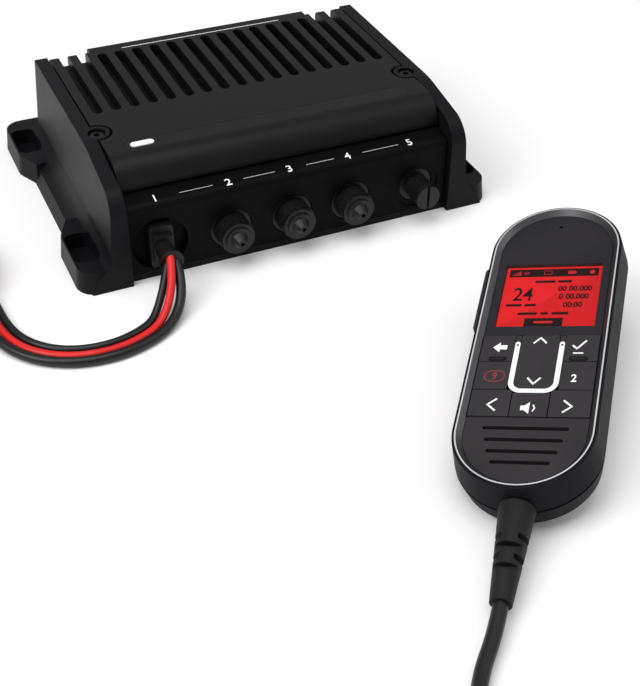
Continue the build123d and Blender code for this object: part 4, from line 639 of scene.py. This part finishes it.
# ---------------------------------------------------------------- the handset
@dataclass
class Handset:
    """The corded handset's key legends, bright line, guide pads, thumb ridges and display."""

    window: Flat = (45.4, 41.0)
    window_y: float = 27.4
    legend: float = 0.85
    ring_size: Flat = (58.7, 170.7)
    ring_width: float = 0.62
    ring_steps: int = 40
    lane_x: float = 9.9
    lane_half: float = 1.12
    guide_end: float = -4.3
    seam_y: float = 1.0
    pad_level: float = 13.0
    pad_gap: float = 0.2
    pad_end: float = 0.25
    pad_steps: int = 8
    dot_y: float = -5.2
    dot_radius: float = 0.55
    ridge_size: Flat = (8.2, 2.4)
    ridge_round: float = 2.3
    ridge_foot: float = 13.1
    ridge_rise: float = 1.0
    ridge_rings: int = 5
    above_face: float = 20.0
    margin: float = 2.4
    bar_height: float = 5.2
    header_inset: float = 1.2
    header_drop: float = 3.0
    soft_bar_x: float = -1.0
    soft_bar_rise: float = 2.9
    soft_bar_width: float = 17.6
    digit_rows: tuple[tuple[str, float], ...] = (("00 00.000", 5.5), ("0 00.000", 0.2), ("00:00", -5.2))
    digit_height: float = 3.5
    word_bars: tuple[Point, ...] = (
        (-3.2, 10.3, 9.6), (6.0, 10.3, 6.4), (-16.1, -5.2, 7.4), (-8.3, -5.2, 5.2), (-9.0, -10.8, 9.0),
        (-1.2, -10.8, 3.4), (6.0, -10.8, 7.6),
    )
    ink_lift: float = 0.05
    icon_lift: float = 0.09

    def key_marks(self) -> dict[str, tuple[Mark, Finish, str, str]]:
        """Draw each key's legend.

        Returns:
            For each piece, its mark, finish, body and node.
        """
        w = self.legend
        arrow = [(-20.9, -6.6), (-17.7, -9.6), (-17.7, -7.9), (-14.5, -7.9), (-14.5, -5.3), (-17.7, -5.3),
                 (-17.7, -3.6)]
        back = Mark().add(arrow, [(0, 1, 2, 6), (2, 3, 4, 5)])
        enter = Mark().line([(14.6, -5.4), (16.6, -7.6), (20.4, -2.6)], w)
        enter.pill((17.4, -10.2), (4.6, 0.8), 0.3)
        watch = lettering("9", (-17.6, -24.0), 4.0)
        power = lettering("2", (17.2, -25.0), 4.4, 0.02)
        left = Mark().line([(-14.4, -37.2), (-18.2, -40.6), (-14.4, -44.0)], w)
        right = Mark().line([(14.4, -37.8), (18.2, -41.2), (14.4, -44.6)], w)
        horn = [(-3.6, -41.0), (-2.0, -41.0), (0.2, -39.0), (0.2, -45.6), (-2.0, -43.6), (-3.6, -43.6)]
        volume = Mark().add(horn, [(0, 1, 2, 3, 4, 5)])
        volume.line([(1.7, -44.2), (2.5, -42.3), (1.7, -40.4)], w * 0.8)
        rocker = Mark().line([(-2.9, -4.2), (0.0, -0.8), (2.9, -4.2)], w)
        rocker.line([(-2.9, -24.9), (0.0, -28.5), (2.9, -24.9)], w)
        ring = Mark().pill((-17.6, -24.0), (9.4, 6.6), 3.2, 0.5)
        return {
            "legend_back": (back, INK_WHITE, "key_back", "key_back"),
            "legend_enter": (enter, INK_WHITE, "key_enter", "key_enter"),
            "legend_watch": (watch, INK_RED, "key_watch", "key_watch"),
            "ring_watch": (ring, INK_RED, "key_watch", "key_watch"),
            "legend_power": (power, INK_WHITE, "key_power_level", "key_power_level"),
            "legend_left": (left, INK_WHITE, "key_left", "key_left"),
            "legend_right": (right, INK_WHITE, "key_right", "key_right"),
            "legend_volume": (volume, INK_WHITE, "key_volume", "key_volume"),
            "legend_rocker": (rocker, INK_WHITE, "rocker", "rocker_key"),
        }

    def dress(self) -> None:
        """Print the keys, add the bright line, the guide's pads and the ridges, and fill the display."""
        surface = Surface(handset_place())
        for name, (mark, finish, body, node) in self.key_marks().items():
            surface.put(name, mark, finish, body, [node], self.above_face)
            LOG.info("%s", name)
        line = Mark().pill((0, 0), self.ring_size, self.ring_size[0] / 2, self.ring_width, self.ring_steps)
        surface.put("trim_line", line, LINE_BRIGHT, "handset", ["trim_ring"], self.above_face)
        dots = Mark()
        for x in (-self.lane_x, self.lane_x):
            dots.disc((x, self.dot_y), self.dot_radius, 16)
        surface.put("guide_dots", dots, RIDGE_BLACK, "handset", ["key_light"], self.above_face)
        self.guide_pads()
        self.ridge("ridge_back", (-17.9, -13.6), "key_back")
        self.ridge("ridge_enter", (17.9, -13.6), "key_enter")
        self.fill_display(surface)

    def guide_pads(self) -> None:
        """Close the light guide's lane between each of its ends and the display panel."""
        place = handset_place()
        points, faces = [], []
        for lane in (-self.lane_x, self.lane_x):
            start = len(points)
            for i in range(self.pad_steps + 1):
                x = self.lane_half * (2 * i / self.pad_steps - 1)
                foot = self.guide_end + math.sqrt((self.lane_half + self.pad_gap) ** 2 - x * x)
                ends = (foot, self.seam_y - self.pad_end)
                points += [place @ (Vector((lane + x, y, self.pad_level)) * MM) for y in ends]
            faces += [(start + 2 * i, start + 2 * i + 2, start + 2 * i + 3, start + 2 * i + 1)
                      for i in range(self.pad_steps)]
        piece("guide_pads", points, faces, FINISHES["key_rubber"], "handset")
        LOG.info("guide_pads")

    def ridge(self, name: str, at: Flat, key: str) -> None:
        """Raise the round-topped ridge that a thumb finds at a key's lower edge.

        Args:
            name: The piece's name.
            at: The ridge's centre, in the handset's plan.
            key: The key that carries it.
        """
        place = handset_place()
        rings, points = self.ridge_rings, []
        for level in range(rings):
            tilt = math.pi / 2 * level / (rings - 1)
            size = tuple(side - self.ridge_round * (1 - math.cos(tilt)) for side in self.ridge_size)
            height = self.ridge_foot + self.ridge_rise * math.sin(tilt)
            outline = rounded(at, size, size[1] / 2 - 0.001)
            points += [place @ (Vector((x, y, height)) * MM) for x, y in outline]
        around = len(points) // rings
        faces = [(level * around + i, level * around + (i + 1) % around,
                  (level + 1) * around + (i + 1) % around, (level + 1) * around + i)
                 for level in range(rings - 1) for i in range(around)]
        faces.append(tuple(range((rings - 1) * around, rings * around)))
        made = piece(name, points, faces, RIDGE_BLACK, key)
        for face in made.data.polygons:
            face.use_smooth = True
        LOG.info("%s", name)

    def fill_display(self, surface: Surface) -> None:
        """Lay the display's header, bars, bare numbers and icons on the lit panel.

        Args:
            surface: The handset's drawing frame.
        """
        wide, high = self.window[0] - self.margin, self.window[1] - self.margin
        top, low, left, right = self.window_y + high / 2, self.window_y - high / 2, -wide / 2, wide / 2
        header_y, soft_y = top - self.header_drop, low + self.soft_bar_rise
        header = Mark().pill((0, header_y), (wide - self.header_inset, self.bar_height), 0.3)
        soft_bar = Mark().pill((self.soft_bar_x, soft_y), (self.soft_bar_width, self.bar_height), 0.3)
        number = lettering("24", (left + 8.9, self.window_y + 2.1), 8.6, 0.01, 0.8)
        rows = Mark()
        for words, y in self.digit_rows:
            digits = lettering(words, (right - 10.4, self.window_y + y), self.digit_height, 0.035, 0.86)
            rows.add(digits.points, digits.faces)
        for x, y, length in self.word_bars:
            rows.pill((x, self.window_y + y), (length, 1.6), 0.5)
        icons = self.icons(left, right, top, header_y)
        icons.pill((self.soft_bar_x, soft_y), (8.8, 1.4), 0.4)
        for name, mark, finish, lift in (
            ("display_header", header, SCREEN_BLACK, self.ink_lift),
            ("display_soft_bar", soft_bar, SCREEN_BLACK, self.ink_lift),
            ("display_number", number, SCREEN_BLACK, self.ink_lift),
            ("display_rows", rows, SCREEN_BLACK, self.ink_lift),
            ("display_icons", icons, SCREEN_RED, self.icon_lift),
        ):
            Surface(surface.place, lift).put(name, mark, finish, "handset", ["lcd_module"], self.above_face)
            LOG.info("%s", name)

    def icons(self, left: float, right: float, top: float, middle: float) -> Mark:
        """Draw the header's icons: rising bars, waves, a frame, a cell and a spot.

        Args:
            left: The display's left edge.
            right: Its right edge.
            top: Its upper edge.
            middle: The header's middle.

        Returns:
            The icons, as one mark.
        """
        icons = Mark()
        for i in range(5):
            icons.pill((left + 2.4 + 0.85 * i, top - 4.6 + 0.3 * (i + 1)), (0.6, 0.6 * (i + 1)), 0.08)
        for i in range(3):
            reach = 0.8 + 0.75 * i
            sweep = [(left + 8.8 + reach * math.sin(t * 0.35), top - 4.7 + reach * math.cos(t * 0.35))
                     for t in range(-2, 3)]
            icons.line(sweep, 0.32)
        icons.pill((-2.6, middle), (3.8, 2.6), 0.2, 0.28)
        icons.pill((right - 13.0, middle), (3.6, 2.0), 0.2)
        icons.pill((right - 10.9, middle), (0.4, 1.0), 0.05)
        return icons.disc((right - 3.6, middle), 1.25, 20)


# ---------------------------------------------------------------- cords
def ring_turn(centre: Flat, start: Flat, radii: Flat, heights: Flat, turns: float,
              per_turn: int = 14) -> list[Point]:
    """Points along turns of a coil.

    Args:
        centre: The coil's centre.
        start: The starting angle in degrees, and 1 for anticlockwise or -1 for clockwise.
        radii: The radius at the start and at the end.
        heights: The height at the start and at the end.
        turns: How many turns.
        per_turn: Points to a turn.

    Returns:
        The points in millimetres.
    """
    count = max(3, round(per_turn * turns))
    points = []
    for i in range(count + 1):
        share = i / count
        angle = math.radians(start[0]) + start[1] * 2 * math.pi * turns * share
        radius = (radii[0] + (radii[1] - radii[0]) * share) / math.cos(math.pi / per_turn) ** 0.5
        points.append((centre[0] + radius * math.cos(angle), centre[1] + radius * math.sin(angle),
                       heights[0] + (heights[1] - heights[0]) * share))
    return points


@dataclass
class Cord:
    """One free cord on a smooth route."""

    name: str
    route: list[Point]
    diameter: float
    finish: Finish
    body: str
    nodes: tuple[str, ...]
    far_end: str
    stiffness: str = "medium"
    with_nodes: tuple[str, ...] = ()
    order: int = 3
    smooth_steps: int = 10
    round_steps: int = 5

    def build(self) -> bpy.types.Object:
        """Returns:
            The cord's curve.
        """
        curve = bpy.data.curves.new(self.name, "CURVE")
        curve.dimensions = "3D"
        curve.resolution_u = self.smooth_steps
        curve.bevel_depth = self.diameter / 2 * MM
        curve.bevel_resolution = self.round_steps
        curve.use_fill_caps = True
        spline = curve.splines.new("NURBS")
        spline.points.add(len(self.route) - 1)
        for point, at in zip(spline.points, self.route):
            point.co = (*(Vector(at) * MM), 1.0)
        spline.order_u = self.order
        spline.use_endpoint_u = True
        curve.materials.append(self.finish.material())
        made = bpy.data.objects.new(self.name, curve)
        bpy.context.scene.collection.objects.link(made)
        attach(made, self.body)
        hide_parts(*self.nodes)
        length = self.length(made)
        LOG.info("%s is %.3f m long", self.name, length)
        return made

    def length(self, made: bpy.types.Object) -> float:
        """Measure the cord's centreline.

        Args:
            made: The cord's curve.

        Returns:
            Its length in metres.
        """
        bare = made.data.copy()
        bare.bevel_depth = 0.0
        mesh = mesh_of(bare)
        spots = [v.co for v in mesh.vertices]
        total = sum((spots[e.vertices[0]] - spots[e.vertices[1]]).length for e in mesh.edges)
        bpy.data.curves.remove(bare)
        bpy.data.meshes.remove(mesh)
        return total


@dataclass(frozen=True)
class Lead:
    """One power lead: its way from the plug to the coil, and how it is wound there."""

    name: str
    slot: str
    diameter: float
    height: float
    pitch: float
    turns: float
    way: tuple[Point, ...]


LEADS = (
    Lead("lead_black", "lead_jacket_black", 4.2, 2.3, 4.9, 4.0, (
        (-77.5, -100.1, 18.6), (-82.0, -108.4, 13.4), (-87.4, -114.8, 6.2), (-93.5, -122.0, 2.3),
        (-103.0, -127.4, 2.3), (-116.3, -131.0, 2.3), (-132.5, -129.7, 2.3), (-146.6, -122.3, 2.3),
        (-156.5, -109.7, 2.3), (-160.5, -94.5, 2.3), (-161.5, -78.0, 2.3), (-162.8, -65.0, 2.3),
        (-162.4, -54.0, 2.3),
    )),
    Lead("lead_red", "lead_jacket_red", 4.2, 7.2, 4.9, 4.0, (
        (-75.5, -100.1, 22.5), (-78.0, -110.0, 17.5), (-83.0, -118.5, 9.0), (-90.5, -126.0, 3.0),
        (-101.0, -132.0, 2.3), (-116.0, -136.0, 2.3), (-134.0, -134.5, 2.3), (-150.0, -126.0, 2.3),
        (-161.0, -112.0, 2.3), (-165.5, -95.0, 3.0), (-166.0, -78.0, 5.0), (-164.0, -63.0, 7.2),
    )),
    Lead("lead_drain", "lead_jacket_black", 5.2, 12.4, 5.9, 3.5, (
        (-72.3, -100.1, 18.7), (-73.5, -111.0, 13.5), (-78.5, -121.0, 6.0), (-87.0, -129.8, 2.7),
        (-99.0, -136.9, 2.7), (-115.6, -141.3, 2.7), (-135.6, -139.6, 2.7), (-153.6, -129.9, 2.7),
        (-165.7, -114.4, 3.2), (-171.0, -97.0, 5.5), (-171.4, -82.0, 9.0), (-168.5, -70.5, 12.0),
    )),
)


@dataclass
class Cords:
    """The handset's cord and the three power leads, each with its put-away coil."""

    cord_diameter: float = 6.4
    cord_coil: Flat = (-96.0, -424.0)
    lead_coil: Flat = (-206.0, -44.0)
    boot_ends: Flat = (-130.0, -145.0)
    boot_height: float = 2.5
    wide: float = 35.5
    narrow: float = 28.5
    low: float = 3.4
    high: float = 10.2

    def handset_route(self) -> list[Point]:
        """Find the handset cord's route.

        Returns:
            The route's points in millimetres, from its boot to its plug.
        """
        place = handset_place()
        ends = [place @ (Vector((0.0, y, self.boot_height)) * MM) / MM for y in self.boot_ends]
        out = [tuple(end) for end in ends]
        out += [(-49.0, -372.0, 3.6), (-58.0, -385.5, 3.4), (-61.5, -399.0, 3.4), (-60.8, -409.5, 3.4)]
        wide, narrow, low, high = self.wide, self.narrow, self.low, self.high
        coil = []
        for start, radii, heights, turns in (
            (0.0, (wide, wide), (low, low), 0.8), (-288.0, (wide, narrow), (low, low), 0.3),
            (-396.0, (narrow, narrow), (low, low), 0.7), (-648.0, (narrow, narrow), (low, high), 0.3),
            (-756.0, (narrow, narrow), (high, high), 0.7), (-1008.0, (narrow, wide), (high, high), 0.3),
            (-1116.0, (wide, wide), (high, high), 1.15),
        ):
            coil += ring_turn(self.cord_coil, (start, -1), radii, heights, turns)[1:]
        tail = [(-113.0, -459.3, 10.1), (-122.0, -459.7, 9.8), (-134.0, -461.0, 9.1)]
        return out + coil + tail

    def lead_route(self, lead: Lead) -> list[Point]:
        """Find a power lead's route, from the plug to the end of its coil.

        Args:
            lead: The lead.

        Returns:
            The route's points in millimetres.
        """
        end = Vector(lead.way[-1][:2]) - Vector(self.lead_coil)
        angle = math.degrees(math.atan2(end.y, end.x))
        radii = (end.length, end.length - lead.pitch * lead.turns)
        coil = ring_turn(self.lead_coil, (angle, 1), radii, (lead.height, lead.height), lead.turns)
        return [*lead.way, *coil[1:]]

    def build(self) -> None:
        """Build every cord."""
        Cord("cord_of_handset", self.handset_route(), self.cord_diameter, FINISHES["cord_jacket"],
             "handset", ("handset_cord", "cord_coil"), "plug", with_nodes=("cord_plug",)).build()
        for lead in LEADS:
            nodes = (lead.name, "lead_coil") if lead is LEADS[0] else (lead.name,)
            Cord(f"wire_{lead.name}", self.lead_route(lead), lead.diameter, FINISHES[lead.slot],
                 "power_plug", nodes, "bare").build()


# ---------------------------------------------------------------- studio
@dataclass
class Studio:
    """Floor, soft light and camera."""

    camera_at: Point = (-0.22281, -0.60423, 0.38831)
    right: Point = (0.91303, -0.40770, 0.01272)
    up: Point = (0.24732, 0.57812, 0.77757)
    ahead: Point = (0.32436, 0.70680, -0.62867)
    lens: float = 65.9
    sensor: float = 36.0
    aim: Point = (0.0, -0.1, 0.0)
    air: float = 0.45
    floor_half: float = 6.0
    floor_tone: float = 0.93
    floor_roughness: float = 0.9
    lamps: tuple[tuple[str, Point, float, float], ...] = (
        ("key_lamp", (-1.35, -0.35, 1.3), 1.1, 18.0), ("fill_lamp", (1.2, -0.6, 1.2), 1.4, 5.0),
        ("top_lamp", (-0.25, -0.25, 1.85), 1.2, 15.0),
    )

    def build(self) -> None:
        """Build the floor, lights and camera."""
        self.floor()
        for name, at, size, power in self.lamps:
            light = bpy.data.lights.new(name, "AREA")
            light.size, light.energy = size, power
            lamp = bpy.data.objects.new(name, light)
            lamp.location = at
            lamp.rotation_euler = (Vector(self.aim) - Vector(at)).to_track_quat("-Z", "Y").to_euler()
            bpy.context.scene.collection.objects.link(lamp)
        world = bpy.data.worlds.new("studio_air")
        world.use_nodes = True
        air = world.node_tree.nodes["Background"]
        air.inputs["Color"].default_value = (1.0, 1.0, 1.0, 1.0)
        air.inputs["Strength"].default_value = self.air
        bpy.context.scene.world = world
        bpy.context.scene.view_settings.view_transform = "Standard"
        self.camera()
        LOG.info("studio")

    def floor(self) -> None:
        """Lay a pale floor, which keeps the shadow."""
        mesh = bpy.data.meshes.new("floor")
        far = self.floor_half
        corners = [(-far, -far, 0), (far, -far, 0), (far, far, 0), (-far, far, 0)]
        mesh.from_pydata(corners, [], [(0, 1, 2, 3)])
        made = bpy.data.materials.new("floor_pale")
        made.use_nodes = True
        shader = made.node_tree.nodes["Principled BSDF"]
        shader.inputs["Base Color"].default_value = (self.floor_tone, self.floor_tone, self.floor_tone, 1.0)
        shader.inputs["Roughness"].default_value = self.floor_roughness
        mesh.materials.append(made)
        floor = bpy.data.objects.new("floor", mesh)
        bpy.context.scene.collection.objects.link(floor)

    def camera(self) -> None:
        """Set the camera."""
        data = bpy.data.cameras.new("camera")
        data.lens, data.sensor_width = self.lens, self.sensor
        made = bpy.data.objects.new("camera", data)
        r, u, a = Vector(self.right), Vector(self.up), Vector(self.ahead)
        made.matrix_world = Matrix.Translation(self.camera_at) @ Matrix((r, u, -a)).transposed().to_4x4()
        bpy.context.scene.collection.objects.link(made)
        bpy.context.scene.camera = made


def finish_nodes() -> None:
    """Give every CAD node its slot's finish."""
    for row in frame["record"]["subparts"]:
        node = frame["nodes"][row["node"]]
        node.data.materials.clear()
        finish = OWN_FINISH.get(row["node"], FINISHES[row["material_slot"]])
        node.data.materials.append(finish.material())
        LOG.info("%s in %s", row["node"], row["material_slot"])


def main() -> None:
    """Build the dressed radio, sub-assembly by sub-assembly."""
    logging.basicConfig(level=logging.INFO)
    finish_nodes()
    Box().dress()
    Handset().dress()
    Cords().build()
    Studio().build()


if __name__ == "__main__":
    main()
